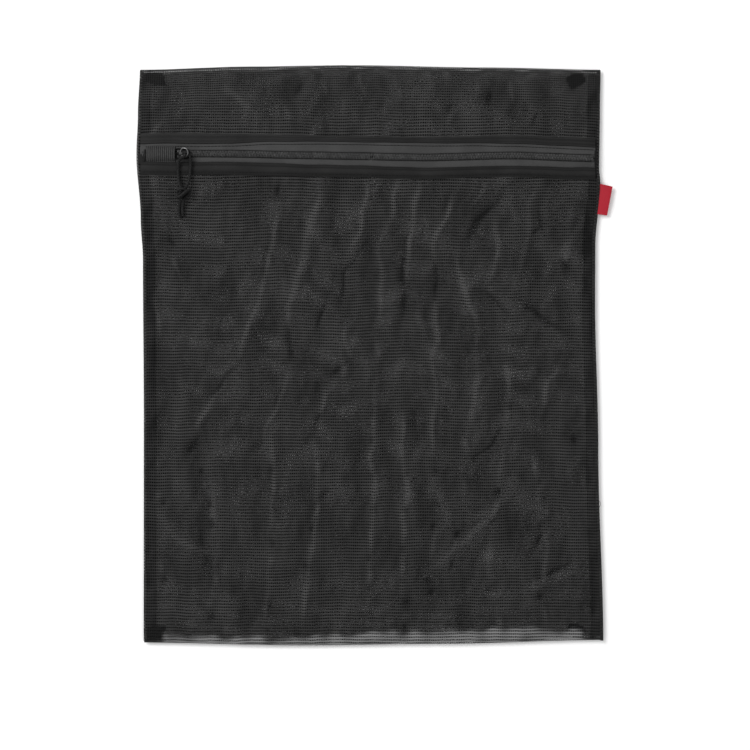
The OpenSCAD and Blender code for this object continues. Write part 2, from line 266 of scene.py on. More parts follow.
@dataclass
class BagShape:
    """Outline and layers of the soft bag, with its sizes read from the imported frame.

    The outline tables hold how far each edge of the soft bag lies beyond the frame's, in
    millimetres, by the place along that edge.
    """

    seam_z: float = 3.2 * MM
    under: float = 0.35 * MM
    reach: float = 24 * MM
    corner: float = 2.2
    left_table: Route = ((-252, -2), (-60, -2.2), (83, -1.4), (120, 0.6), (175, 4.3), (210, 3.0), (252, 1.2))
    right_table: Route = (
        (-252, 1.8), (-82, -2.6), (48, -5.4), (95, -5.2), (150, -0.8), (163, -1.8), (215, -1.2), (252, -0.6),
    )
    top_table: Route = ((-205, -0.8), (-100, 2.2), (-18, 3.2), (100, 1.2), (205, -0.8))
    bottom_table: Route = ((-205, 0.1), (-62, 2.6), (60, 1.2), (205, -2.2))
    zip_table: Route = (
        (-205, -0.3), (-163.6, 0), (-127, 0.3), (-45, -0.4), (42, -1.0), (125, 1.5), (181, 0.1), (205, -0.4),
    )
    half_w: float = field(init=False)
    half_l: float = field(init=False)
    front_top: float = field(init=False)
    slider: Vector = field(init=False)
    slope: float = field(init=False)
    tape_ends: list[BVHTree] = field(init=False)

    def __post_init__(self) -> None:
        """Read the sizes from the frame."""
        self.half_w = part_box("right_edge")[1].x
        self.half_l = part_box("top_fold")[1].y
        self.front_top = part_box("front_panel")[1].z
        low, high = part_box("slider_body")
        self.slider = (low + high) / 2
        axis = next(j["axis"] for j in frame["joints"] if j["name"] == "slider_slide")
        self.slope = axis[1] / axis[0]
        meshes = [node.data for name, node in sorted(frame["nodes"].items()) if name.endswith("_tape_end")]
        self.tape_ends = [
            BVHTree.FromPolygons(
                [v.co.copy() for v in mesh.vertices], [tuple(f.vertices) for f in mesh.polygons]
            )
            for mesh in meshes
        ]

    def left(self, y: Array) -> Array:
        """Place of the left edge at y."""
        return -self.half_w - MM * eased(np.asarray(y) / MM, self.left_table)

    def right(self, y: Array) -> Array:
        """Place of the right edge at y."""
        return self.half_w + MM * eased(np.asarray(y) / MM, self.right_table)

    def top(self, x: Array) -> Array:
        """Place of the top fold at x."""
        return self.half_l + MM * eased(np.asarray(x) / MM, self.top_table)

    def bottom(self, x: Array) -> Array:
        """Place of the bottom fold at x."""
        return -self.half_l - MM * eased(np.asarray(x) / MM, self.bottom_table)

    def zip_y(self, x: Array) -> Array:
        """Place of the middle of the zip at x, with its soft waviness."""
        x = np.asarray(x, float)
        straight = self.slider.y + self.slope * (x - self.slider.x)
        return straight + MM * eased(x / MM, self.zip_table)

    def fullness(self, x: Array, y: Array) -> Array:
        """How far the layers are apart, from 0 on the outline to 1 well inside it.

        Args:
            x: Places across the bag.
            y: Places along the bag.

        Returns:
            The shares.
        """
        gaps = (x - self.left(y), self.right(y) - x, y - self.bottom(x), self.top(x) - y)
        share = np.ones(np.broadcast(x, y).shape)
        for gap, reach in zip(gaps, (self.reach, self.reach, 0.8 * self.reach, 0.8 * self.reach)):
            t = 1 - np.clip(gap / reach, 0, 1)
            share = share * (1 - t**self.corner) ** (1 / self.corner)
        return share

    def creases(self, x: Array, y: Array) -> tuple[Array, Array]:
        """Height of the creases, and the painted light and shade they lay on the cloth's colour.

        Args:
            x: Places across the bag.
            y: Places along the bag.

        Returns:
            The height in metres, and the painted light and shade from about -1 to 1, lighter on ridges and
            darker in valleys, which also draws the knit's rows.
        """
        u, v = x / MM, y / MM
        u = u + 1.3 * waves(u, v, 34, SEED)
        v = v + 1.3 * waves(u, v, 31, SEED + 1)
        height = np.zeros(u.shape)
        # stretch holds painted light and shade for the knit's colour: lighter on ridges and spine crests,
        # darker in valleys and slack cloth; the slow waves add random tone.
        stretch = np.zeros(u.shape)
        for sign, lines in ((1, RIDGES), (-1, VALLEYS)):
            for k, line in enumerate(lines):
                d, along = line_distance(u, v, line)
                width = 2.4 + 0.8 * math.sin(2.3 * k)
                ends = 0.2 + 0.8 * np.sin(math.pi * np.clip(along, 0.02, 0.98))
                height += sign * 1.1 * ends * np.exp(-((d / (1.4 * width)) ** 2))
                stretch += sign * 0.95 * ends * np.exp(-((d / (0.9 * width)) ** 2))
        for k, line in enumerate(SPINES):
            d, along = line_distance(u, v, line)
            ends = smooth_step(along / 0.15) * smooth_step((1 - along) / 0.2)
            uneven = ends * (0.7 + 0.3 * np.sin(7 * along + k))
            height += 0.9 * uneven * np.exp(-((d / 3.2) ** 2))
            crest, flank, slack = (np.exp(-((d / reach) ** 2)) for reach in (1.7, 6.5, 15))
            stretch += uneven * (0.9 * crest + 0.45 * flank - 0.2 * slack)
        height += 0.45 * waves(u, 0.4 * v, 36, SEED + 2) + 0.24 * waves(u, 0.5 * v, 15, SEED + 3)
        stretch += 0.2 * waves(u, 0.3 * v, 34, SEED + 4) + 0.16 * waves(u, 0.4 * v, 12, SEED + 5)
        return height * MM, stretch

    def tape_shade(self, x: Array, y: Array) -> Array:
        """Find where the dark tapes lie close under the front mesh, and so shade it.

        Args:
            x: Places across the bag.
            y: Places along the bag.

        Returns:
            1 over a tape and 0 elsewhere.
        """
        edge = np.minimum(x - self.left(y), self.right(y) - x)
        shade = 0.5 * (edge < 10.5 * MM)
        near = (edge < 36 * MM) & (np.abs(y) > self.half_l - 24 * MM)
        for i in np.flatnonzero(near):
            if any(end.ray_cast(Vector((x[i], y[i], 0.1)), Vector((0, 0, -1)))[0] for end in self.tape_ends):
                shade[i] = 1.5
        return shade

    def front_z(self, x: Array, y: Array) -> Array:
        """Middle height of the front layer.

        Args:
            x: Places across the bag.
            y: Places along the bag.

        Returns:
            The heights.
        """
        x, y = np.asarray(x, float), np.asarray(y, float)
        share = self.fullness(x, y)
        off_zip = np.abs(y - self.zip_y(x)) / MM
        loose = smooth_step((off_zip - 15) / 22)
        sag = 1.5 * MM * loose
        near_cord = np.hypot((x - self.slider.x) / (24 * MM), (y - self.slider.y + 32 * MM) / (40 * MM))
        calm = 0.25 + 0.75 * smooth_step(near_cord - 0.6)
        height = self.front_top - self.under - sag * calm - self.seam_z
        return self.seam_z + share * (height + self.creases(x, y)[0] * loose * calm)

    def back_z(self, x: Array, y: Array) -> Array:
        """Middle height of the back layer, which mostly lies on the floor.

        Args:
            x: Places across the bag.
            y: Places along the bag.

        Returns:
            The heights.
        """
        x, y = np.asarray(x, float), np.asarray(y, float)
        share = self.fullness(x, y)
        lift = 0.35 * MM * (1 + waves(x / MM, y / MM, 46, SEED + 6))
        return self.seam_z + share * (np.clip(lift, 0, 1 * MM) + 0.25 * MM - self.seam_z)

    def zip_z(self, x: Array) -> Array:
        """Height of the top of the tapes at x."""
        return self.front_z(x, self.zip_y(x)) + self.under


# ---------------------------------------------------------------- mesh tools


def clear_selection() -> None:
    """Leave edit mode and deselect every object."""
    if bpy.context.object and bpy.context.object.mode != "OBJECT":
        bpy.ops.object.mode_set(mode="OBJECT")
    bpy.ops.object.select_all(action="DESELECT")


def activate(piece: bpy.types.Object) -> None:
    """Make a piece the only selected one, and the active one."""
    clear_selection()
    piece.select_set(True)
    bpy.context.view_layer.objects.active = piece


def named(name: str) -> bpy.types.Object:
    """Name the object that was just added, and its mesh."""
    piece = bpy.context.object
    piece.name = name
    piece.data.name = name
    return piece


def place_in_mesh(piece: bpy.types.Object) -> bpy.types.Object:
    """Move a piece's place, turn and scale into its mesh."""
    activate(piece)
    bpy.ops.object.transform_apply(location=True, rotation=True, scale=True)
    return piece


def finish_with(piece: bpy.types.Object, kind: str, **values: Any) -> bpy.types.Object:
    """Add a modifier and apply it.

    Args:
        piece: The piece to change.
        kind: The modifier's type.
        **values: The modifier's settings.

    Returns:
        The piece.
    """
    activate(piece)
    modifier = piece.modifiers.new(kind.title(), kind)
    for key, value in values.items():
        setattr(modifier, key, value)
    bpy.ops.object.modifier_apply(modifier=modifier.name)
    return piece


def smooth(piece: bpy.types.Object, degrees: float = 40) -> bpy.types.Object:
    """Shade a piece smooth, but keep edges sharper than an angle."""
    activate(piece)
    bpy.ops.object.shade_smooth_by_angle(angle=math.radians(degrees))
    return piece


def outward(piece: bpy.types.Object) -> bpy.types.Object:
    """Merge doubled points and turn all faces outwards."""
    activate(piece)
    bpy.ops.object.mode_set(mode="EDIT")
    bpy.ops.mesh.select_all(action="SELECT")
    bpy.ops.mesh.remove_doubles(threshold=1e-6)
    bpy.ops.mesh.normals_make_consistent(inside=False)
    bpy.ops.object.mode_set(mode="OBJECT")
    return piece


def joined(pieces: Sequence[bpy.types.Object], name: str) -> bpy.types.Object:
    """Join pieces of one part into one object.

    Args:
        pieces: The objects to join.
        name: Name of the result.

    Returns:
        The joined object.
    """
    clear_selection()
    for piece in pieces:
        piece.select_set(True)
    bpy.context.view_layer.objects.active = pieces[0]
    bpy.ops.object.join()
    return named(name)


def points_of(piece: bpy.types.Object) -> Array:
    """Read a mesh's points, one row each."""
    co = np.zeros(len(piece.data.vertices) * 3)
    piece.data.vertices.foreach_get("co", co)
    return co.reshape(-1, 3)


def move_points(piece: bpy.types.Object, co: Array) -> bpy.types.Object:
    """Write a mesh's points back."""
    piece.data.vertices.foreach_set("co", np.ascontiguousarray(co, float).ravel())
    piece.data.update()
    return piece


def give_uv(piece: bpy.types.Object, per_point: Array) -> None:
    """Lay the cloth's own coordinates, in metres, on a mesh.

    Args:
        piece: The mesh.
        per_point: Two coordinates for each point.
    """
    layer = piece.data.uv_layers.active or piece.data.uv_layers.new(name="cloth")
    corners = np.zeros(len(piece.data.loops), int)
    piece.data.loops.foreach_get("vertex_index", corners)
    layer.data.foreach_set("uv", per_point[corners].astype(np.float32).ravel())


def even_cloth(wide: float, long: float) -> Callable[[Array, Array], Array]:
    """Return a rule for a sheet's own coordinates, which run evenly over its size."""
    return lambda s, t: np.stack([s * wide, t * long], axis=1)


def give_value(piece: bpy.types.Object, name: str, per_point: Array) -> None:
    """Store one value for each point of a mesh under a name."""
    values = piece.data.attributes.new(name, "FLOAT", "POINT")
    values.data.foreach_set("value", per_point.astype(np.float32))


def cloth_grid(
    name: str,
    across: int,
    along: int,
    place: Callable[[Array, Array], Array],
    cloth: Callable[[Array, Array], Array],
) -> bpy.types.Object:
    """Make a sheet from a flat grid, whose points are then laid in place.

    Args:
        name: Name of the piece.
        across: Number of cells from side to side.
        along: Number of cells from end to end.
        place: Gives points from the shares across and along.
        cloth: Gives the cloth's own coordinates from the same shares.

    Returns:
        The sheet, one face thick.
    """
    clear_selection()
    bpy.ops.mesh.primitive_grid_add(x_subdivisions=across, y_subdivisions=along, size=2)
    piece = named(name)
    co = points_of(piece)
    s, t = (co[:, 0] + 1) / 2, (co[:, 1] + 1) / 2
    give_uv(piece, cloth(s, t))
    return move_points(piece, place(s, t))


def thick_sheet(piece: bpy.types.Object, thickness: float) -> bpy.types.Object:
    """Give a sheet its thickness on both sides, and round its shading."""
    finish_with(piece, "SOLIDIFY", thickness=thickness, offset=0.0)
    return smooth(piece, 60)


def tube(name: str, points: Array, radius: float, rounding: int = 1) -> bpy.types.Object:
    """Make a round wire or thread along points, with closed ends.

    Args:
        name: Name of the piece.
        points: The points of its middle line, one row each.
        radius: Radius of the wire.
        rounding: Half the number of sides beyond four.

    Returns:
        The wire as a mesh.
    """
    clear_selection()
    curve = bpy.data.curves.new(name, "CURVE")
    curve.dimensions = "3D"
    curve.bevel_depth = radius
    curve.bevel_resolution = rounding
    curve.use_fill_caps = True
    spline = curve.splines.new("POLY")
    spline.points.add(len(points) - 1)
    for target, point in zip(spline.points, points):
        target.co = (*point, 1)
    piece = bpy.data.objects.new(name, curve)
    bpy.context.scene.collection.objects.link(piece)
    activate(piece)
    bpy.ops.object.convert(target="MESH")
    return outward(named(name))


def block(name: str, low: Sequence[float], high: Sequence[float], bevel: float) -> bpy.types.Object:
    """Make a block with rounded edges between two corners.

    Args:
        name: Name of the piece.
        low: Lowest corner.
        high: Highest corner.
        bevel: Radius of its edges.

    Returns:
        The block.
    """
    clear_selection()
    low, high = Vector(low), Vector(high)
    bpy.ops.mesh.primitive_cube_add(size=1, location=(low + high) / 2, scale=high - low)
    piece = place_in_mesh(named(name))
    return finish_with(piece, "BEVEL", width=bevel, segments=3, limit_method="ANGLE")


def repeated(piece: bpy.types.Object, count: int, step: Sequence[float]) -> bpy.types.Object:
    """Copy one small shape in a row, with each copy's own points."""
    return finish_with(
        piece,
        "ARRAY",
        count=count,
        use_relative_offset=False,
        use_constant_offset=True,
        constant_offset_displace=step,
    )


def select_faces(piece: bpy.types.Object, test: Callable[[Any], bool]) -> None:
    """Select the faces of the active mesh that pass a test, ready for edit mode.

    Args:
        piece: The mesh, in object mode.
        test: Says whether a face is wanted.
    """
    for part in (piece.data.vertices, piece.data.edges, piece.data.polygons):
        part.foreach_set("select", [False] * len(part))
    for face in piece.data.polygons:
        face.select = bool(test(face))


# ---------------------------------------------------------------- shader tools


class Graph:
    """Nodes of one material or group, added and wired by short calls."""

    def __init__(self, tree: bpy.types.NodeTree) -> None:
        """Start on an empty tree."""
        self.tree = tree

    def node(self, kind: str, inputs: Optional[dict[Any, Any]] = None, **settings: Any) -> bpy.types.Node:
        """Add a node.

        Args:
            kind: The node's type.
            inputs: Numbers, colours or sockets for its inputs, by name or place.
            **settings: Its other settings.

        Returns:
            The node.
        """
        made = self.tree.nodes.new(kind)
        for key, value in settings.items():
            setattr(made, key, value)
        for key, value in (inputs or {}).items():
            self.feed(made.inputs[key], value)
        return made

    def feed(self, socket: bpy.types.NodeSocket, value: Any) -> None:
        """Set a socket, or link it if the value is a socket."""
        if isinstance(value, bpy.types.NodeSocket):
            self.tree.links.new(value, socket)
        else:
            socket.default_value = value

    def math(self, operation: str, *values: Any, clamp: bool = False) -> bpy.types.NodeSocket:
        """Add a Math node and return its result."""
        made = self.node("ShaderNodeMath", dict(enumerate(values)), operation=operation, use_clamp=clamp)
        return made.outputs[0]

    def span(self, value: Any, low: float, high: float, to_low: float = 0, to_high: float = 1) -> Any:
        """Map a value from one range to another, with eased ends.

        Args:
            value: The socket to map.
            low: Start of the range.
            high: End of the range.
            to_low: Result at its start.
            to_high: Result at its end.

        Returns:
            The result socket.
        """
        inputs = {0: value, 1: low, 2: high, 3: to_low, 4: to_high}
        return self.node("ShaderNodeMapRange", inputs, interpolation_type="SMOOTHSTEP").outputs[0]

    def blend(self, share: Any, low: Any, high: Any) -> bpy.types.NodeSocket:
        """Mix two colours by a share."""
        made = self.node("ShaderNodeMix", data_type="RGBA")
        for key, value in ((0, share), (6, low), (7, high)):
            self.feed(made.inputs[key], value)
        return made.outputs[2]

    def noise(self, vector: Any, scale: float, detail: float = 3) -> bpy.types.NodeSocket:
        """Add seeded noise on a vector and return its value."""
        inputs = {"Vector": vector, "Scale": scale, "Detail": detail}
        return self.node("ShaderNodeTexNoise", inputs).outputs[0]

    def parts(self, vector: Any) -> Sequence[bpy.types.NodeSocket]:
        """Split a vector into its three numbers."""
        return self.node("ShaderNodeSeparateXYZ", {0: vector}).outputs

    def bump(self, height: Any, strength: float, distance: float, normal: Any = None) -> bpy.types.NodeSocket:
        """Turn a height into a normal.

        Args:
            height: The height socket.
            strength: How strongly it shows.
            distance: Height of one unit, in metres.
            normal: A normal to add to.

        Returns:
            The normal socket.
        """
        inputs = {"Height": height, "Strength": strength, "Distance": distance}
        if normal is not None:
            inputs["Normal"] = normal
        return self.node("ShaderNodeBump", inputs).outputs[0]


class Effect:
    """A shared surface effect: a node group with named inputs and outputs, built once."""

    name = "effect"
    inputs: tuple[tuple[str, str, Any], ...] = ()
    outputs: tuple[tuple[str, str], ...] = ()

    def build(self, graph: Graph, given: Any) -> dict[str, Any]:
        """Wire the effect.

        Args:
            graph: The group's nodes.
            given: The group's input sockets, by name.

        Returns:
            A socket for each output name.
        """
        raise NotImplementedError

    def tree(self) -> bpy.types.NodeTree:
        """Return the effect's group, made on first use."""
        found = bpy.data.node_groups.get(self.name)
        if found:
            return found
        made = bpy.data.node_groups.new(self.name, "ShaderNodeTree")
        for name, kind, default in self.inputs:
            socket = made.interface.new_socket(name, in_out="INPUT", socket_type=kind)
            if default is not None:
                socket.default_value = default
        for name, kind in self.outputs:
            made.interface.new_socket(name, in_out="OUTPUT", socket_type=kind)
        graph = Graph(made)
        start = graph.node("NodeGroupInput")
        end = graph.node("NodeGroupOutput")
        for name, value in self.build(graph, start.outputs).items():
            graph.feed(end.inputs[name], value)
        return made

    def use(self, graph: Graph, **values: Any) -> Any:
        """Place the effect in a material.

        Args:
            graph: The material's nodes.
            **values: Its inputs, with _ for a space.

        Returns:
            Its output sockets, by name.
        """
        made = graph.node("ShaderNodeGroup", node_tree=self.tree())
        for key, value in values.items():
            graph.feed(made.inputs[key.replace("_", " ")], value)
        return made.outputs


FLOAT, VECTOR = "NodeSocketFloat", "NodeSocketVector"


class OpenKnit(Effect):
    """Open knitted mesh: rows of bars joined by thinner wales, with a hole in each cell."""

    name = "open_knit"
    inputs = (
        ("Cloth", VECTOR, None), ("Row", FLOAT, 0.00265), ("Wale", FLOAT, 0.0019), ("Hole", FLOAT, 0.5),
    )
    outputs = (("Yarn", FLOAT), ("Height", FLOAT), ("Bar", FLOAT))

    def build(self, graph: Graph, given: Any) -> dict[str, Any]:
        """Wire the knit; see Effect.build.

        Args:
            graph: The group's nodes.
            given: The group's input sockets.

        Returns:
            Yarn is 1 where there is yarn, Height its roundness, Bar 1 on the rows' bars.
        """
        x, y, _ = graph.parts(given["Cloth"])
        slip = graph.math("MULTIPLY_ADD", graph.noise(given["Cloth"], 160, 2), 0.0006, y)
        across = graph.math("FRACT", graph.math("DIVIDE", x, given["Wale"]))
        along = graph.math("FRACT", graph.math("DIVIDE", slip, given["Row"]))
        dx = graph.math("DIVIDE", graph.math("ABSOLUTE", graph.math("SUBTRACT", across, 0.5)), 0.31)
        dy = graph.math("ABSOLUTE", graph.math("SUBTRACT", along, 0.5))
        far = graph.math(
            "ADD",
            graph.math("POWER", dx, 3),
            graph.math("POWER", graph.math("DIVIDE", dy, 0.27), 3),
        )
        size = graph.math("MULTIPLY", given["Hole"], 2)
        out = graph.math("DIVIDE", far, size)
        yarn = graph.span(out, 0.8, 1.2)
        round_ = graph.span(out, 0.7, 5.0)
        strands = graph.math("SINE", graph.math("MULTIPLY", x, math.tau / 0.00047))
        height = graph.math("MULTIPLY_ADD", strands, 0.12, round_)
        return {"Yarn": yarn, "Height": height, "Bar": graph.span(dy, 0.2, 0.42)}


class Woven(Effect):
    """Close plain weave of fine threads."""

    name = "close_weave"
    inputs = (("Cloth", VECTOR, None), ("Pitch", FLOAT, 0.0005))
    outputs = (("Height", FLOAT), ("Grain", FLOAT))

    def build(self, graph: Graph, given: Any) -> dict[str, Any]:
        """Wire the weave; see Effect.build.

        Args:
            graph: The group's nodes.
            given: The group's input sockets.

        Returns:
            Height is the threads' relief, Grain their uneven tone.
        """
        x, y, _ = graph.parts(given["Cloth"])
        turns = [graph.math("MULTIPLY", graph.math("DIVIDE", v, given["Pitch"]), math.pi) for v in (x, y)]
        over = graph.math("MULTIPLY", graph.math("SINE", turns[0]), graph.math("SINE", turns[1]))
        speck = graph.noise(given["Cloth"], 1500, 2)
        height = graph.math("MULTIPLY_ADD", over, 0.5, 0.5)
        return {"Height": height, "Grain": graph.span(speck, 0.3, 0.7)}


class Dust(Effect):
    """Faint lint and rubbed patches, for every dark surface."""

    name = "lint_and_rub"
    inputs = (("Place", VECTOR, None), ("Scale", FLOAT, 60.0))
    outputs = (("Patch", FLOAT), ("Speck", FLOAT))

    def build(self, graph: Graph, given: Any) -> dict[str, Any]:
        """Wire the lint; see Effect.build.

        Args:
            graph: The group's nodes.
            given: The group's input sockets.

        Returns:
            Patch is a slow mask, Speck a few bright dots.
        """
        slow = self.scaled(graph, given["Place"], given["Scale"])
        fast = self.scaled(graph, given["Place"], graph.math("MULTIPLY", given["Scale"], 25))
        return {"Patch": graph.span(slow, 0.38, 0.66), "Speck": graph.span(fast, 0.7, 0.78)}

    @staticmethod
    def scaled(graph: Graph, place: Any, scale: Any) -> Any:
        """Add noise whose scale is a socket."""
        return graph.node("ShaderNodeTexNoise", {"Vector": place, "Scale": scale, "Detail": 3}).outputs[0]


OPEN_KNIT, WOVEN, DUST = OpenKnit(), Woven(), Dust()
Colour = tuple[float, float, float, float]


def grey(value: float, warmth: float = 0.0) -> Colour:
    """Make a grey, a little warmer or cooler."""
    return (value * (1 + warmth), value, value * (1 - warmth), 1)


@dataclass(frozen=True)
class Finish:
    """A finish: a material made once, from values that say how it looks."""

    name: str
    slot: str
    roughness: float = 0.7
    gloss: float = 0.1

    def wire(self, graph: Graph, shader: bpy.types.Node) -> None:
        """Wire the finish to its shader.

        Args:
            graph: The material's nodes.
            shader: The Principled BSDF.
        """
        raise NotImplementedError

    def material(self) -> bpy.types.Material:
        """Return the material, made on first use."""
        found = bpy.data.materials.get(self.name)
        if found:
            return found
        made = bpy.data.materials.new(self.name)
        made.use_nodes = True
        graph = Graph(made.node_tree)
        shader = made.node_tree.nodes["Principled BSDF"]
        shader.inputs["Roughness"].default_value = self.roughness
        shader.inputs["Specular IOR Level"].default_value = self.gloss
        self.wire(graph, shader)
        return made

    def dress(self, piece: bpy.types.Object) -> bpy.types.Object:
        """Put the finish on a piece."""
        piece.data.materials.clear()
        piece.data.materials.append(self.material())
        return piece


@dataclass(frozen=True)
class KnitFinish(Finish):
    """Open knitted polyester mesh, with holes that show what is behind it."""

    dark: float = 0.006
    light: float = 0.06
    lit: float = 0.2
    hole: float = 0.38
    sheen: float = 0.03

    def wire(self, graph: Graph, shader: bpy.types.Node) -> None:
        """Wire the knit on the piece's own cloth coordinates; see Finish.wire.

        Args:
            graph: The material's nodes.
            shader: The Principled BSDF.
        """
        cloth = graph.node("ShaderNodeTexCoord").outputs["UV"]
        stretch = graph.node("ShaderNodeAttribute", attribute_name="stretch").outputs["Fac"]
        painted_fold_light = graph.node("ShaderNodeAttribute", attribute_name="painted_fold_light").outputs["Fac"]
        knit = OPEN_KNIT.use(graph, Cloth=cloth, Hole=self.hole)
        lint = DUST.use(graph, Place=cloth, Scale=30.0)
        # stretch is painted light and shade: lighter on crease ridges, darker in valleys and over the tapes
        # beneath; lint patches are real tone.
        tone = graph.math("MULTIPLY_ADD", stretch, 0.4, 0.34)
        tone = graph.math("MULTIPLY_ADD", lint["Patch"], 0.16, tone, clamp=True)
        tone = graph.math("MULTIPLY", tone, graph.math("MULTIPLY_ADD", knit["Bar"], 0.55, 0.55))
        colour = graph.blend(tone, grey(self.dark), grey(self.light, 0.01))
        # Painted highlight: the strips along the folds are mixed towards the lit grey.
        bright = graph.math("MULTIPLY", painted_fold_light, graph.math("MULTIPLY_ADD", knit["Bar"], 0.7, 0.5), clamp=True)
        colour = graph.blend(bright, colour, grey(self.lit))
        graph.feed(shader.inputs["Base Color"], colour)
        graph.feed(shader.inputs["Alpha"], knit["Yarn"])
        graph.feed(shader.inputs["Roughness"], graph.span(knit["Height"], 0, 1, 0.8, 0.55))
        graph.feed(shader.inputs["Normal"], graph.bump(knit["Height"], 0.7, 0.0003))
        shader.inputs["Sheen Weight"].default_value = self.sheen
        shader.inputs["Sheen Roughness"].default_value = 0.4


@dataclass(frozen=True)
class WovenFinish(Finish):
    """Close woven tape or ribbon."""

    colour: Colour = (0.05, 0.05, 0.05, 1)
    pitch: float = 0.0005
    contrast: float = 0.5
    sheen: float = 0.03

    def wire(self, graph: Graph, shader: bpy.types.Node) -> None:
        """Wire the weave on the piece's own place; see Finish.wire.

        Args:
            graph: The material's nodes.
            shader: The Principled BSDF.
        """
        place = graph.node("ShaderNodeTexCoord").outputs["Object"]
        weave = WOVEN.use(graph, Cloth=place, Pitch=self.pitch)
        lint = DUST.use(graph, Place=place, Scale=45.0)
        dark = tuple(c * (1 - self.contrast) for c in self.colour[:3]) + (1,)
        tone = graph.math("MULTIPLY", weave["Height"], graph.math("MULTIPLY_ADD", weave["Grain"], 0.5, 0.6))
        tone = graph.math("MULTIPLY_ADD", lint["Patch"], 0.2, tone, clamp=True)
        graph.feed(shader.inputs["Base Color"], graph.blend(tone, dark, self.colour))
        rough = graph.span(weave["Grain"], 0, 1, self.roughness - 0.1, self.roughness + 0.08)
        graph.feed(shader.inputs["Roughness"], rough)
        graph.feed(shader.inputs["Normal"], graph.bump(weave["Height"], 0.55, 0.00015))
        shader.inputs["Sheen Weight"].default_value = self.sheen
        shader.inputs["Sheen Roughness"].default_value = 0.4


@dataclass(frozen=True)
class HardFinish(Finish):
    """Moulded nylon, coated metal or bright wire, with fine grain and rubbed patches."""

    colour: Colour = (0.02, 0.02, 0.02, 1)
    rubbed: Colour = (0.06, 0.06, 0.06, 1)
    metal: float = 0.0
    grain: float = 900.0

    def wire(self, graph: Graph, shader: bpy.types.Node) -> None:
        """Wire the grain and the rubbed patches; see Finish.wire.

        Args:
            graph: The material's nodes.
            shader: The Principled BSDF.
        """
        place = graph.node("ShaderNodeTexCoord").outputs["Object"]
        lint = DUST.use(graph, Place=place, Scale=260.0)
        fine = graph.noise(place, self.grain, 4)
        share = graph.math("MULTIPLY", lint["Patch"], graph.span(fine, 0.35, 0.7))
        graph.feed(shader.inputs["Base Color"], graph.blend(share, self.colour, self.rubbed))
        rough = graph.span(fine, 0.3, 0.7, self.roughness - 0.06, self.roughness + 0.1)
        graph.feed(shader.inputs["Roughness"], rough)
        graph.feed(shader.inputs["Normal"], graph.bump(fine, 0.25, 0.00006))
        shader.inputs["Metallic"].default_value = self.metal


@dataclass(frozen=True)
class YarnFinish(Finish):
    """Twisted or braided yarn, for threads, the cord and elastic ribs."""

    colour: Colour = (0.01, 0.01, 0.011, 1)
    lit: Colour = (0.05, 0.05, 0.052, 1)
    twist: float = 2600.0

    def wire(self, graph: Graph, shader: bpy.types.Node) -> None:
        """Wire slanted strands over a yarn; see Finish.wire.

        Args:
            graph: The material's nodes.
            shader: The Principled BSDF.
        """
        place = graph.node("ShaderNodeTexCoord").outputs["Object"]
        x, y, z = graph.parts(place)
        slant = graph.math("ADD", graph.math("ADD", x, graph.math("MULTIPLY", y, 0.8)), z)
        strand = graph.math("SINE", graph.math("MULTIPLY", slant, self.twist * math.tau / 2))
        strand = graph.math("MULTIPLY_ADD", strand, 0.5, 0.5)
        fuzz = graph.noise(place, 2200, 2)
        share = graph.math("MULTIPLY", strand, graph.span(fuzz, 0.25, 0.75))
        # The strands' crowns take the lit colour: painted highlight; the fuzz is real tone.
        graph.feed(shader.inputs["Base Color"], graph.blend(share, self.colour, self.lit))
        rough = graph.span(fuzz, 0, 1, self.roughness - 0.1, self.roughness + 0.1)
        graph.feed(shader.inputs["Roughness"], rough)
        graph.feed(shader.inputs["Normal"], graph.bump(share, 0.5, 0.0001))
        shader.inputs["Sheen Weight"].default_value = 0.03


@dataclass(frozen=True)
class BraidFinish(Finish):
    """Braided cord, on the cord's own coordinates: u round it and v along it."""

    colour: Colour = (0.006, 0.006, 0.0065, 1)
    lit: Colour = (0.07, 0.07, 0.072, 1)

    def wire(self, graph: Graph, shader: bpy.types.Node) -> None:
        """Wire the strands and the fuzz; see Finish.wire.

        Args:
            graph: The material's nodes.
            shader: The Principled BSDF.
        """
        coordinates = graph.node("ShaderNodeTexCoord")
        raised = graph.node("ShaderNodeAttribute", attribute_name="braid").outputs["Fac"]
        fuzz = graph.noise(coordinates.outputs["Object"], 1700, 3)
        _, along, _ = graph.parts(coordinates.outputs["UV"])
        ply = graph.math("MULTIPLY_ADD", graph.math("SINE", graph.math("MULTIPLY", along, 21000)), 0.5, 0.5)
        # Raised strands take the lit colour and the grooves the dark one: painted highlight and shade on the
        # braid; the fuzz is real tone.
        share = graph.math("MULTIPLY", raised, graph.span(fuzz, 0.3, 0.72))
        share = graph.math("MULTIPLY", share, graph.math("MULTIPLY_ADD", ply, 0.5, 0.5))
        graph.feed(shader.inputs["Base Color"], graph.blend(share, self.colour, self.lit))
        rough = graph.span(fuzz, 0, 1, self.roughness - 0.14, self.roughness + 0.1)
        graph.feed(shader.inputs["Roughness"], rough)
        graph.feed(shader.inputs["Normal"], graph.bump(graph.math("ADD", share, fuzz), 0.4, 0.00008))
        shader.inputs["Sheen Weight"].default_value = 0.03


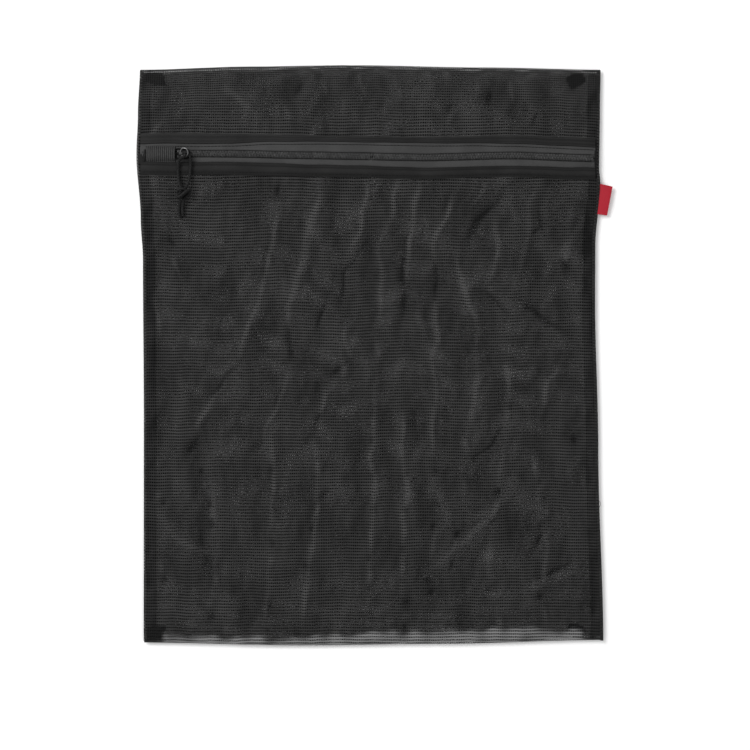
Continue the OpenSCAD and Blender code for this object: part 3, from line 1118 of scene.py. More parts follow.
@dataclass(frozen=True)
class ElasticFinish(Finish):
    """Ribbed elastic, whose ribs stand in pale rows of close yarn between grooves darkened with painted
    shade.
    """

    painted_groove_shade: Colour = (0.001, 0.001, 0.001, 1)
    rib: Colour = (0.056, 0.056, 0.056, 1)
    pitch: float = 0.0005

    def wire(self, graph: Graph, shader: bpy.types.Node) -> None:
        """Wire the ribs on the stored relief, with fine yarn over them, darkest in the grooves as painted
        shade; see Finish.wire.

        Args:
            graph: The material's nodes.
            shader: The Principled BSDF.
        """
        place = graph.node("ShaderNodeTexCoord").outputs["Object"]
        raised = graph.node("ShaderNodeAttribute", attribute_name="rib").outputs["Fac"]
        weave = WOVEN.use(graph, Cloth=place, Pitch=self.pitch)
        yarn = graph.math("MULTIPLY_ADD", weave["Height"], 0.4, 0.35)
        yarn = graph.math("MULTIPLY_ADD", weave["Grain"], 0.45, yarn)
        share = graph.math("MULTIPLY", raised, yarn, clamp=True)
        # The dark colour in the recesses between ribs is painted shade.
        graph.feed(shader.inputs["Base Color"], graph.blend(share, self.painted_groove_shade, self.rib))
        rough = graph.span(weave["Grain"], 0, 1, self.roughness - 0.1, self.roughness + 0.1)
        graph.feed(shader.inputs["Roughness"], rough)
        graph.feed(shader.inputs["Normal"], graph.bump(weave["Height"], 0.5, 0.00012))


MESH = KnitFinish("knitted_mesh", "knit_mesh")
HEM = KnitFinish("turned_mesh", "knit_mesh", dark=0.003, light=0.024, hole=0.0002)
TAPE = WovenFinish("woven_zip_tape", "zip_tape", 0.72, 0.1, grey(0.06), 0.00055, 0.6)
TAB = WovenFinish("worn_tape_end", "zip_tape", 0.75, 0.1, grey(0.055), 0.0006, 0.75)
BINDING = WovenFinish("binding_weave", "binding_tape", 0.8, 0.06, grey(0.009), 0.0007, 0.5)
LABEL = WovenFinish("red_satin", "label_ribbon", 0.5, 0.2, (0.37, 0.009, 0.022, 1), 0.00035, 0.2, 0.1)
COIL = HardFinish("nylon_coil", "coil_nylon", 0.42, 0.2, grey(0.035), grey(0.085))
SLIDER = HardFinish("coated_slider", "slider_plastic", 0.42, 0.25, grey(0.005), grey(0.02))
WIRE = HardFinish("bright_wire", "ring_wire", 0.3, 0.3, grey(0.17), grey(0.09), 1.0, 1500.0)
THREAD = YarnFinish("black_thread", "sewing_thread", 0.65, 0.1, grey(0.004), grey(0.02))
ELASTIC = ElasticFinish("elastic_ribs", "ribbed_elastic", 0.78, 0.06)
BRAID = BraidFinish("braided_cord", "pull_cord", 0.6, 0.12, grey(0.001), grey(0.026))


# ---------------------------------------------------------------- camera and floor


@dataclass
class Studio:
    """Camera, floor and soft lights."""

    view_width: float = 652.5 * MM
    aim: tuple[float, float] = (3.2 * MM, -17 * MM)
    lens: float = 110.0
    sensor: float = 36.0

    def build(self) -> None:
        """Make the camera, the pale floor and the lights."""
        clear_selection()
        height = self.view_width * self.lens / self.sensor + 7 * MM
        bpy.ops.object.camera_add(location=(*self.aim, height), rotation=(0, 0, 0))
        camera = bpy.context.object
        camera.data.lens = self.lens
        camera.data.sensor_width = self.sensor
        bpy.context.scene.camera = camera
        clear_selection()
        bpy.ops.mesh.primitive_plane_add(size=9, location=(0, 0, -0.2 * MM))
        floor = place_in_mesh(named("floor"))
        paper = bpy.data.materials.new("pale_floor")
        paper.use_nodes = True
        graph = Graph(paper.node_tree)
        shader = paper.node_tree.nodes["Principled BSDF"]
        place = graph.node("ShaderNodeTexCoord").outputs["Object"]
        graph.feed(shader.inputs["Base Color"], graph.blend(graph.noise(place, 3), grey(0.93), grey(0.95)))
        shader.inputs["Roughness"].default_value = 0.9
        floor.data.materials.append(paper)
        self.light("key_light", (-1.3, 1.0, 1.5), 1.2, 42)
        self.light("fill_light", (1.3, -0.7, 1.7), 1.6, 8)
        world = bpy.data.worlds.new("studio_air")
        world.use_nodes = True
        world.node_tree.nodes["Background"].inputs[0].default_value = grey(1.0)
        world.node_tree.nodes["Background"].inputs[1].default_value = 0.62
        bpy.context.scene.world = world
        bpy.context.scene.view_settings.view_transform = "Standard"

    def light(self, name: str, place: Sequence[float], size: float, power: float) -> None:
        """Add a square soft light that points at the middle of the floor.

        Args:
            name: Name of the light.
            place: Its position.
            size: Its side.
            power: Its power in watts.
        """
        clear_selection()
        turn = (-Vector(place)).to_track_quat("-Z", "Y").to_euler()
        bpy.ops.object.light_add(type="AREA", location=place, rotation=turn)
        lamp = bpy.context.object
        lamp.name = name
        lamp.data.shape = "SQUARE"
        lamp.data.size = size
        lamp.data.energy = power


# ---------------------------------------------------------------- pull cord


@dataclass
class PullCord:
    """One doubled cord: tail, knot, left strand, over the ring, right strand, knot, tail.

    The routes are in millimetres from the slider's middle on top of the front layer, as the
    packed cord's are.
    """

    shape: BagShape
    diameter: float = 2.7 * MM
    sides: int = 20
    ring_step: float = 0.16 * MM
    relief: float = 0.3 * MM
    loop: Sequence[tuple[float, float, float]] = (
        (-2, -28.6, 4.6), (-3.3, -25, 3.4), (-4.1, -19, 2.6), (-4.2, -13, 2.8), (-3.9, -8.5, 3.7),
        (-2.7, -5.2, 5.2), (-0.8, -3.4, 6.8), (1.6, -2.5, 7.4), (1.9, -1.2, 7.2), (2.3, -0.4, 6.1),
        (3.2, -0.4, 5.1), (4.8, -0.6, 4.9), (6.2, -2.4, 4.8), (6.7, -5.6, 4.2), (6.6, -10, 3.3),
        (6.3, -16, 2.9), (5.4, -22, 2.9), (3.6, -27.6, 4.4),
    )
    tail_left: Sequence[tuple[float, float, float]] = (
        (-3, -55.6, 1.6), (-3.6, -50, 1.6), (-3.4, -45, 1.9), (-2.4, -40.6, 3.6),
    )
    tail_right: Sequence[tuple[float, float, float]] = (
        (0.6, -40.6, 3.6), (-0.2, -45, 1.9), (-0.5, -50, 1.6), (0.3, -54.6, 1.6),
    )
    wrap_left: Sequence[tuple[float, float, float]] = (
        (-1.6, -37.4, 4.4), (1.6, -34.4, 5.4), (4.4, -32.6, 4.2), (5.2, -34.4, 2.6), (2.6, -37.0, 1.9),
        (-1.8, -36.6, 2.0), (-4.3, -34.0, 3.6), (-3.6, -31.4, 6.4), (-0.2, -30.6, 7.7), (2.4, -31.6, 6.6),
        (2.2, -32.2, 4.2), (-0.2, -31.4, 3.6),
    )
    wrap_right: Sequence[tuple[float, float, float]] = (
        (1.6, -30.6, 5.0), (-1.4, -33.4, 4.6), (-4.6, -36.0, 5.0), (-4.2, -37.6, 6.6), (-0.8, -36.2, 8.2),
        (2.8, -33.2, 8.3), (5.8, -31.6, 6.4), (6.2, -32.0, 3.6), (4.2, -34.6, 2.0), (2.0, -37.2, 2.4),
        (1.4, -38.8, 3.2),
    )

    def route(self) -> Array:
        """Pass one smooth line through all the stretches of the cord.

        Returns:
            The points of its middle line, evenly spaced, in metres.
        """
        stretches = (self.tail_left, self.wrap_left, self.loop, self.wrap_right, self.tail_right)
        points = np.array([p for stretch in stretches for p in stretch], float)
        start = np.array([self.shape.slider.x, self.shape.slider.y, self.shape.front_top])
        line = smooth_route(points * MM, 10) + start
        line[1:-1] = (line[:-2] + 2 * line[1:-1] + line[2:]) / 4
        run = np.concatenate([[0], np.cumsum(np.linalg.norm(np.diff(line, axis=0), axis=1))])
        even = np.arange(0, run[-1], self.ring_step)
        return np.stack([np.interp(even, run, line[:, k]) for k in range(3)], axis=1)

    def build(self) -> bpy.types.Object:
        """Returns:
            The cord.
        """
        line = self.route()
        count = len(line)
        ahead = np.gradient(line, axis=0)
        ahead /= np.linalg.norm(ahead, axis=1)[:, None]
        normal = np.cross(ahead[0], (1, 0.2, 0.1))
        normals = []
        for direction in ahead:
            normal = normal - (normal @ direction) * direction
            normal = normal / np.linalg.norm(normal)
            normals.append(normal)
        normals = np.array(normals)
        binormals = np.cross(ahead, normals)
        turn = np.arange(self.sides) / self.sides * math.tau
        along = np.arange(count) * self.ring_step
        phase = along[:, None] / (2.3 * MM) * math.tau
        left = np.sin(3 * turn[None, :] + phase)
        right = np.sin(3 * turn[None, :] - phase)
        braid = np.clip(0.5 + 0.5 * np.maximum(left, right), 0, 1) ** 1.5
        ends = np.minimum(along, along[::-1]) / (0.8 * MM)
        taper = np.sqrt(np.clip(ends, 0.02, 1))[:, None]
        radius = (self.diameter / 2 - self.relief * (1 - braid) * 0.8) * taper
        cosine, sine = np.cos(turn)[None, :, None], np.sin(turn)[None, :, None]
        ring = normals[:, None, :] * cosine + binormals[:, None, :] * sine
        points = (line[:, None, :] + radius[:, :, None] * ring).reshape(-1, 3)
        faces = []
        for i in range(count - 1):
            for k in range(self.sides):
                a, b = i * self.sides + k, i * self.sides + (k + 1) % self.sides
                faces.append((a, b, b + self.sides, a + self.sides))
        faces.append(tuple(range(self.sides - 1, -1, -1)))
        faces.append(tuple((count - 1) * self.sides + k for k in range(self.sides)))
        mesh = bpy.data.meshes.new("braided_pull_cord")
        mesh.from_pydata(points.tolist(), [], faces)
        piece = bpy.data.objects.new("braided_pull_cord", mesh)
        bpy.context.scene.collection.objects.link(piece)
        outward(piece)
        around = np.tile(turn / math.tau, count)
        give_uv(piece, np.stack([around, np.repeat(along, self.sides)], axis=1))
        give_value(piece, "braid", braid.ravel())
        smooth(piece, 60)
        BRAID.dress(piece)
        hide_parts("pull_cord", "pull_knot", "pull_tail_left", "pull_tail_right")
        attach(piece, Bodies.CORD.value)
        LOG.info("cord %s: %.1f mm long", piece.name, along[-1] / MM)
        return piece


# ---------------------------------------------------------------- bag cloth


@dataclass
class MeshCloth:
    """The knitted mesh: one strip for head, back and folds, and two halves for the front."""

    shape: BagShape
    cell: float = 2.5 * MM
    fine: float = 1.5 * MM
    thickness: float = 0.32 * MM
    hidden: float = 15.6 * MM
    left_blend: tuple[float, float] = (-170 * MM, -20 * MM)
    right_blend: tuple[float, float] = (168 * MM, 10 * MM)

    def cloth(self, x: Array, y: Array, seed: int, drawn: Array) -> Array:
        """Lay the knit's rows and wales on the bag, a little uneven and drawn in by creases.

        Args:
            x: Place across.
            y: Distance along the strip.
            seed: Seed of the unevenness.
            drawn: How strongly creases draw the rows, from about -1 to 1.

        Returns:
            The cloth's own coordinates, in metres.
        """
        u, v = x / MM, y / MM
        slow = waves(u, 0.4 * v, 110, seed) * 0.8 + waves(u, 0.5 * v, 40, seed + 1) * 0.25
        skew = waves(u, 0.15 * v, 80, seed + 2) * 0.6 + waves(u, 0.3 * v, 26, seed + 3) * 0.16
        return np.stack([x + slow * MM, y + (skew + 0.28 * drawn) * MM], axis=1)

    def columns(self, share: Array) -> Array:
        """Move one column of the grid to the binding's inner edge, so that its shade ends there."""
        width = 2 * self.shape.half_w
        gap = np.minimum(share, 1 - share) * width
        even = (0, 9.9 * MM, 11.8 * MM, 17.6 * MM, width)
        drawn = (0, 10.2 * MM, 11.0 * MM, 17.6 * MM, width)
        moved = np.interp(gap, even, drawn)
        return np.where(share < 0.5, moved, width - moved) / width

    def strip_place(self, s: Array, t: Array) -> tuple[Array, Array, Array]:
        """Find the strip's points: head, over the top fold, back, round the bottom fold.

        Args:
            s: Share across.
            t: Share along, from the zip to the bottom fold.

        Returns:
            The points, the distance along the strip, and the share of the front layer.
        """
        shape = self.shape
        s = self.columns(s)
        guess = (2 * s - 1) * shape.half_w
        head = 75 * MM
        back = 2 * shape.half_l
        run = t * (head + back)
        on_head = run < head
        part = np.where(on_head, run / head, (run - head) / back)
        start = shape.zip_y(guess) + self.hidden
        top, bottom = shape.top(guess), shape.bottom(guess)
        # the rows crowd towards the folds, where the cloth turns
        bend = np.where(on_head, np.sin(part * math.pi / 2), (1 - np.cos(part * math.pi)) / 2)
        bend = np.where(on_head, 0.35 * bend + 0.65 * part, 0.25 * bend + 0.75 * part)
        y = np.where(on_head, start + (top - start) * bend, top + (bottom - top) * bend)
        x = shape.left(y) + (shape.right(y) - shape.left(y)) * s
        z = np.where(on_head, shape.front_z(x, y), shape.back_z(x, y))
        return np.stack([x, y, z], axis=1), run, on_head.astype(float)

    def strip(self) -> bpy.types.Object:
        """Make the head, the back and both folds in one strip.

        Returns:
            The strip.
        """
        across = int(2 * self.shape.half_w / (0.8 * self.cell))
        along = int((2 * self.shape.half_l + 75 * MM) / self.cell)
        piece = cloth_grid(
            "mesh_head_and_back",
            across,
            along,
            lambda s, t: self.strip_place(s, t)[0],
            self.strip_cloth,
        )
        co = points_of(piece)
        front = (co[:, 1] > self.shape.zip_y(co[:, 0])) & (co[:, 2] > self.shape.seam_z - 0.05 * MM)
        calm = waves(co[:, 0] / MM, co[:, 1] / MM, 50, 5) * 0.3
        # On the front, stretch carries the creases' painted light and shade, minus painted shade over the
        # tapes; on the back it is random tone.
        stretch = np.where(front, self.shape.creases(co[:, 0], co[:, 1])[1], calm)
        stretch = np.where(front, stretch - self.shape.tape_shade(co[:, 0], co[:, 1]), stretch)
        give_value(piece, "stretch", stretch)
        give_value(piece, "painted_fold_light", self.painted_fold_light(co))
        thick_sheet(piece, self.thickness)
        MESH.dress(piece)
        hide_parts("head_panel", "back_panel", "top_fold", "bottom_fold")
        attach(piece, Bodies.BAG.value)
        return piece

    def strip_cloth(self, s: Array, t: Array) -> Array:
        """Lay the knit on the strip.

        Args:
            s: Share across.
            t: Share along.

        Returns:
            The cloth's own coordinates.
        """
        co, run, on_head = self.strip_place(s, t)
        drawn = np.where(on_head > 0.5, self.shape.creases(co[:, 0], co[:, 1])[1], 0)
        return self.cloth((2 * self.columns(s) - 1) * self.shape.half_w, -run, SEED + 20, drawn)

    def painted_fold_light(self, co: Array) -> Array:
        """How strongly painted fold light brightens the mesh, along the bottom fold and faintly along the top
        fold.

        Args:
            co: The points.

        Returns:
            The shares, from 0 to 1.
        """
        shape = self.shape
        x, y = co[:, 0], co[:, 1]
        low, high = y - shape.bottom(x), shape.top(x) - y
        uneven = waves(x / MM, y / MM, 24, SEED + 9)
        wide = eased(x / MM, ((-205, 9.0), (-100, 8.0), (0, 12.0), (110, 14.0), (205, 10.0))) * MM
        strip = smooth_step((wide + 1.5 * MM * uneven - low) / (5 * MM)) * (0.75 + 0.2 * uneven)
        corner = np.minimum(x - shape.left(y), shape.right(y) - x)
        strip = strip * smooth_step((corner - 15 * MM) / (5 * MM))
        head = 0.14 * smooth_step((5 * MM - high) / (4 * MM)) * smooth_step((corner - 14 * MM) / (6 * MM))
        return np.clip(strip + head, 0, 1)

    def front_half(self, side: Side) -> bpy.types.Object:
        """Make one half of the front.

        Args:
            side: The left or the right half.

        Returns:
            The half.
        """
        shape = self.shape
        name = "mesh_front_left" if side is Side.LOW else "mesh_front_right"

        def place(s: Array, t: Array) -> Array:
            """Lay the half's points; s and t are shares across and along."""
            share = self.columns(s / 2 if side is Side.LOW else (1 + s) / 2)
            guess = (2 * share - 1) * shape.half_w
            low, high = shape.bottom(guess), shape.zip_y(guess) - self.hidden
            y = low + (high - low) * (0.93 * t + 0.07 * t**1.8)
            middle = np.where(share == 0.5, 0.0, 1.0)
            x = shape.left(y) + (shape.right(y) - shape.left(y)) * share
            x = np.where(middle == 0, (shape.left(y) + shape.right(y)) / 2, x)
            return np.stack([x, y, shape.front_z(x, y)], axis=1)

        def cloth(s: Array, t: Array) -> Array:
            """Lay the knit on the half; s and t are shares across and along."""
            co = place(s, t)
            return self.cloth(co[:, 0], co[:, 1], SEED + 30, shape.creases(co[:, 0], co[:, 1])[1])

        length = shape.slider.y + shape.half_l
        piece = cloth_grid(name, int(shape.half_w / self.fine), int(length / self.cell), place, cloth)
        co = points_of(piece)
        shade = shape.tape_shade(co[:, 0], co[:, 1])
        # stretch: the creases' painted light and shade, minus painted shade over the tapes beneath.
        give_value(piece, "stretch", shape.creases(co[:, 0], co[:, 1])[1] - shade)
        give_value(piece, "painted_fold_light", self.painted_fold_light(co))
        thick_sheet(piece, self.thickness)
        MESH.dress(piece)
        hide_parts("front_panel")
        start, end = self.left_blend if side is Side.LOW else self.right_blend
        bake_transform(piece)
        return piece

    def side_turn(self, side: Side) -> bpy.types.Object:
        """Make the turned mesh that closes one side of the bag, from front to back.

        Args:
            side: The left or the right side.

        Returns:
            The turned edge.
        """
        shape = self.shape
        name = "left_turned_edge" if side is Side.LOW else "right_turned_edge"
        edge = shape.left if side is Side.LOW else shape.right

        def place(s: Array, t: Array) -> Array:
            """Lay the turned edge; s goes round it and t along it."""
            y = -shape.half_l + 1.5 * MM + t * (2 * shape.half_l - 3 * MM)
            angle = (s - 0.5) * math.pi
            inner = 2.6 * MM * (1 - np.cos(angle))
            x = edge(y) - side.value * (inner - 0.35 * MM)
            on_sheet = edge(y) - side.value * np.maximum(inner, 0.02 * MM)
            front, back = shape.front_z(on_sheet, y), shape.back_z(on_sheet, y)
            up = np.sin(angle) * side.value * -1
            rise, drop = front - shape.seam_z + 0.25 * MM, shape.seam_z - back + 0.25 * MM
            z = shape.seam_z + np.where(up > 0, rise, drop) * up
            return np.stack([x, y, z], axis=1)

        piece = cloth_grid(name, 12, 200, place, even_cloth(9 * MM, 2 * shape.half_l))
        give_value(piece, "stretch", 0.2 * waves(points_of(piece)[:, 1] / MM, 0, 20, 8))
        thick_sheet(piece, self.thickness * 0.9)
        MESH.dress(piece)
        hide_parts("left_edge" if side is Side.LOW else "right_edge")
        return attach(piece, Bodies.BAG.value)

    def build(self) -> list[bpy.types.Object]:
        """Make all the mesh cloth.

        Returns:
            Its pieces.
        """
        made = [self.strip()]
        made += [self.front_half(side) for side in Side]
        made += [self.side_turn(side) for side in Side]
        return made


# ---------------------------------------------------------------- zip


@dataclass
class Zip:
    """Tapes, coils, hems and sewing on both sides of the zip line.

    Upper pieces stay with the bag. Lower pieces are made in two halves, split at the middle of the bag.
    """

    shape: BagShape
    cloth: MeshCloth
    pitch: float = 1.35 * MM
    wire: float = 0.3 * MM
    hem_out: float = 17.2 * MM
    inset: float = 3.2 * MM
    shift: float = 0.6 * MM
    upper_lip: Route = (
        (-205, 9.4), (-150, 9.6), (-125, 10.0), (-80, 12.6), (-40, 13.3),
        (40, 13.5), (80, 12.8), (120, 11.3), (205, 10.8),
    )
    lower_lip: Route = ((-205, 6.9), (-150, 7.4), (-110, 7.1), (-40, 8.0), (80, 8.9), (120, 9.1), (205, 8.0))

    @staticmethod
    def mean_lip(upper: bool) -> float:
        """Return the mean distance of a hem's lip from the zip line, in millimetres."""
        return 12.0 if upper else 8.2

    def span(self, upper: bool, half: Optional[Side]) -> tuple[float, float]:
        """Find where a piece starts and ends across the bag.

        Args:
            upper: Whether it is an upper piece.
            half: Which half of a lower piece.

        Returns:
            The two places.
        """
        y = self.shape.slider.y
        low = float(self.shape.left(y)) + self.inset
        high = float(self.shape.right(y)) - self.inset
        if not upper:
            low, high = (low, 0.0) if half is Side.LOW else (0.0, high)
        return low, high

    def follow(self, co: Array, side: int) -> Array:
        """Lay points along the soft zip line.

        Args:
            co: Points as (place across, distance from the line, height over the tape).
            side: 1 above the line, -1 below it.

        Returns:
            The points on the bag.
        """
        x = co[:, 0]
        y = self.shape.zip_y(x) + side * co[:, 1]
        z = self.shape.zip_z(x) + co[:, 2]
        return np.stack([x, y, z], axis=1)

    def pushed(self, w: Array, x: Array, upper: bool) -> Array:
        """Move the hem's lip, and what lies beside it, to the lip's place along the zip.

        Args:
            w: Distances from the zip line, in millimetres, with the lip at its mean place.
            x: Places across the bag.
            upper: Whether they lie above the zip line.

        Returns:
            The distances on the bag.
        """
        mean = self.mean_lip(upper)
        lip = eased(x / MM, self.upper_lip if upper else self.lower_lip) - mean
        outer = self.hem_out / MM
        fall = np.clip((outer - w) / (outer - mean), 0, 1)
        return w + lip * smooth_step((w - 4.5) / 3.2) * fall

    def set_down(
        self, piece: bpy.types.Object, upper: bool, half: Optional[Side], node: str
    ) -> bpy.types.Object:
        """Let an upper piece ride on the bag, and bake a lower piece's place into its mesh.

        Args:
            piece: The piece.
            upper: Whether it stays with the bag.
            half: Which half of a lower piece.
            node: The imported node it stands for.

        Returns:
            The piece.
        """
        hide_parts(node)
        if upper:
            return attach(piece, Bodies.BAG.value)
        start, end = self.cloth.left_blend if half is Side.LOW else self.cloth.right_blend
        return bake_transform(piece)

    def sheet(
        self, name: str, upper: bool, half: Optional[Side], profile: Route, thickness: float, ripple: float
    ) -> bpy.types.Object:
        """Make a long strip with one cross-section along the zip.

        Args:
            name: Name of the piece.
            upper: Whether it lies above the zip line.
            half: Which half of a lower piece.
            profile: Points of its section: distance from the line and height, in millimetres.
            thickness: Thickness of the strip.
            ripple: Height of its slow ripples, in millimetres.

        Returns:
            The strip.
        """
        low, high = self.span(upper, half)
        side = 1 if upper else -1
        keys = np.linspace(0, 1, len(profile))
        fine = smooth_route(np.array(profile, float), 4)
        fine_keys = np.linspace(0, 1, len(fine))
        seed = SEED + 40 + len(profile)

        def place(s: Array, t: Array) -> Array:
            """Lay the strip; s goes along the zip and t over the section."""
            section = t if upper else 1 - t
            x = low + (high - low) * s
            w = np.interp(section, fine_keys, fine[:, 0])
            h = np.interp(section, fine_keys, fine[:, 1])
            w = self.pushed(w, x, upper) + 0.2 * waves(x / MM, 0 * w, 40, seed)
            h = h + ripple * waves(x / MM, 2 * w, 26, seed + 1)
            return self.follow(np.stack([x, w * MM, h * MM], axis=1), side)

        def cloth(s: Array, t: Array) -> Array:
            """Lay the cloth's own coordinates on the strip."""
            return np.stack([low + (high - low) * s, t * len(keys) * 1.1 * MM], axis=1)

        cells = int((high - low) / (1.6 * MM))
        piece = cloth_grid(name, cells, 4 * (len(profile) - 1), place, cloth)
        give_value(piece, "stretch", 0.1 * waves(points_of(piece)[:, 0] / MM, 0, 30, seed + 2))
        return thick_sheet(piece, thickness)

    def tape(self, upper: bool, half: Optional[Side]) -> bpy.types.Object:
        """Make a stretch of tape, with a low rib along it next to the chain."""
        profile = [(1.0, -0.3), (2.4, -0.35), (3.6, -0.3), (4.0, 0.15), (5.0, 0.25), (6.4, 0.1)]
        if upper:
            profile += [(8.2, 0.2), (9.0, -0.2), (9.8, 0.22), (11.6, 0.2), (13, -0.1), (16, -0.3)]
        else:
            profile += [(7.2, 0.02), (9, -0.2), (16, -0.3)]
            profile = [(w - 1.1 if w < 6 else w, h) for w, h in profile]
        name = "zip_tape_" + self.tail(upper, half)
        piece = self.sheet(name, upper, half, profile, 0.45 * MM, 0.06)
        TAPE.dress(piece)
        return self.set_down(piece, upper, half, "upper_tape" if upper else "lower_tape")

    @staticmethod
    def tail(upper: bool, half: Optional[Side]) -> str:
        """Name the place of a zip piece."""
        if upper:
            return "upper"
        return "lower_left" if half is Side.LOW else "lower_right"

    def hem(self, upper: bool, half: Optional[Side]) -> bpy.types.Object:
        """Make a stretch of the turned hem, with a rolled lip towards the chain."""
        lip, out = self.mean_lip(upper), self.hem_out / MM
        profile = (
            (out, 0.2), (lip + 2.4, 0.1), (lip + 0.3, 0.25), (lip - 0.35, 0.75), (lip + 0.1, 1.25),
            (lip + 1.1, 1.05), (lip + 2.2, 0.8), (lip + 3.6, 0.85), (out - 0.7, 0.5), (out + 0.6, 0.28),
        )
        piece = self.sheet("turned_hem_" + self.tail(upper, half), upper, half, profile, 0.3 * MM, 0.07)
        HEM.dress(piece)
        return self.set_down(piece, upper, half, "upper_hem" if upper else "lower_hem")

    def coil(self, upper: bool, half: Optional[Side]) -> bpy.types.Object:
        """Make a stretch of wound coil: one turn of the filament, repeated.

        Args:
            upper: Whether it lies above the zip line.
            half: Which half of a lower piece.

        Returns:
            The coil.
        """
        low, high = self.span(upper, half)
        p = self.pitch / MM
        turn = (
            (0.0, 2.3, 0.35), (0.03 * p, 2.5, 1.0), (0.08 * p, 2.2, 1.62), (0.12 * p, 1.1, 1.88),
            (0.15 * p, -0.1, 1.75), (0.2 * p, -0.5, 1.15), (0.3 * p, -0.1, 0.6), (0.55 * p, 1.1, 0.42),
            (0.85 * p, 2.0, 0.34), (0.98 * p, 2.28, 0.35),
        )
        shift = 0.0 if upper else 0.5 * self.pitch
        start = math.ceil((low + MM) / self.pitch) * self.pitch + shift
        end = high - MM if (upper or half is Side.HIGH) else high
        count = int((end - start) / self.pitch)
        points = np.array(turn) * MM
        points[:, 0] += start
        piece = tube("nylon_coil_" + self.tail(upper, half), points, self.wire, 0)
        repeated(piece, count, (self.pitch, 0, 0))
        co = points_of(piece) + (0, self.shift if upper else -self.shift, 0)
        move_points(piece, self.follow(co, 1 if upper else -1))
        if not upper:
            outward(piece)
        smooth(piece, 80)
        COIL.dress(piece)
        return self.set_down(piece, upper, half, "upper_coil" if upper else "lower_coil")

    def stitches(
        self, name: str, upper: bool, half: Optional[Side], off: float, height: float, length: float,
        gap: float,
    ) -> bpy.types.Object:
        """Make a row of stitches along the zip: one stitch, repeated.

        Args:
            name: Name of the row.
            upper: Whether it lies above the zip line.
            half: Which half of a lower piece.
            off: Distance from the zip line.
            height: Height over the tape.
            length: Length of a stitch.
            gap: Gap between two stitches.

        Returns:
            The row.
        """
        low, high = self.span(upper, half)
        start = low + 1.5 * MM if (upper or half is Side.LOW) else low
        step = length + gap
        points = np.array(
            [
                (start, off, height - 0.22 * MM), (start + 0.15 * length, off, height),
                (start + 0.5 * length, off + 0.05 * MM, height + 0.08 * MM),
                (start + 0.85 * length, off, height),
                (start + length, off, height - 0.22 * MM),
            ]
        )
        piece = tube(name, points, 0.2 * MM, 0)
        repeated(piece, int((high - start - MM) / step), (step, 0, 0))
        co = points_of(piece)
        co[:, 1] = MM * self.pushed(co[:, 1] / MM, co[:, 0], upper)
        move_points(piece, self.follow(co, 1 if upper else -1))
        if not upper:
            outward(piece)
        return smooth(piece, 80)

    def build(self) -> list[bpy.types.Object]:
        """Make every piece of the zip but its slider.

        Returns:
            The pieces.
        """
        made = []
        for upper, half in ((True, None), (False, Side.LOW), (False, Side.HIGH)):
            made += [self.tape(upper, half), self.hem(upper, half), self.coil(upper, half)]
            word = "upper" if upper else "lower"
            tail = self.tail(upper, half)
            off = 2.85 * MM + (self.shift if upper else -self.shift)
            row = self.stitches("coil_stitches_" + tail, upper, half, off, 1.1 * MM, 2.5 * MM, 0.2 * MM)
            THREAD.dress(row)
            made.append(self.set_down(row, upper, half, word + "_coil_thread"))
            off = 9.1 * MM if upper else 15.6 * MM
            height = (0.4 if upper else 0.9) * MM
            row = self.stitches("hem_stitches_" + tail, upper, half, off, height, 2.4 * MM, 0.6 * MM)
            THREAD.dress(row)
            made.append(self.set_down(row, upper, half, word + "_hem_thread"))
        return made


# ---------------------------------------------------------------- seams and trims


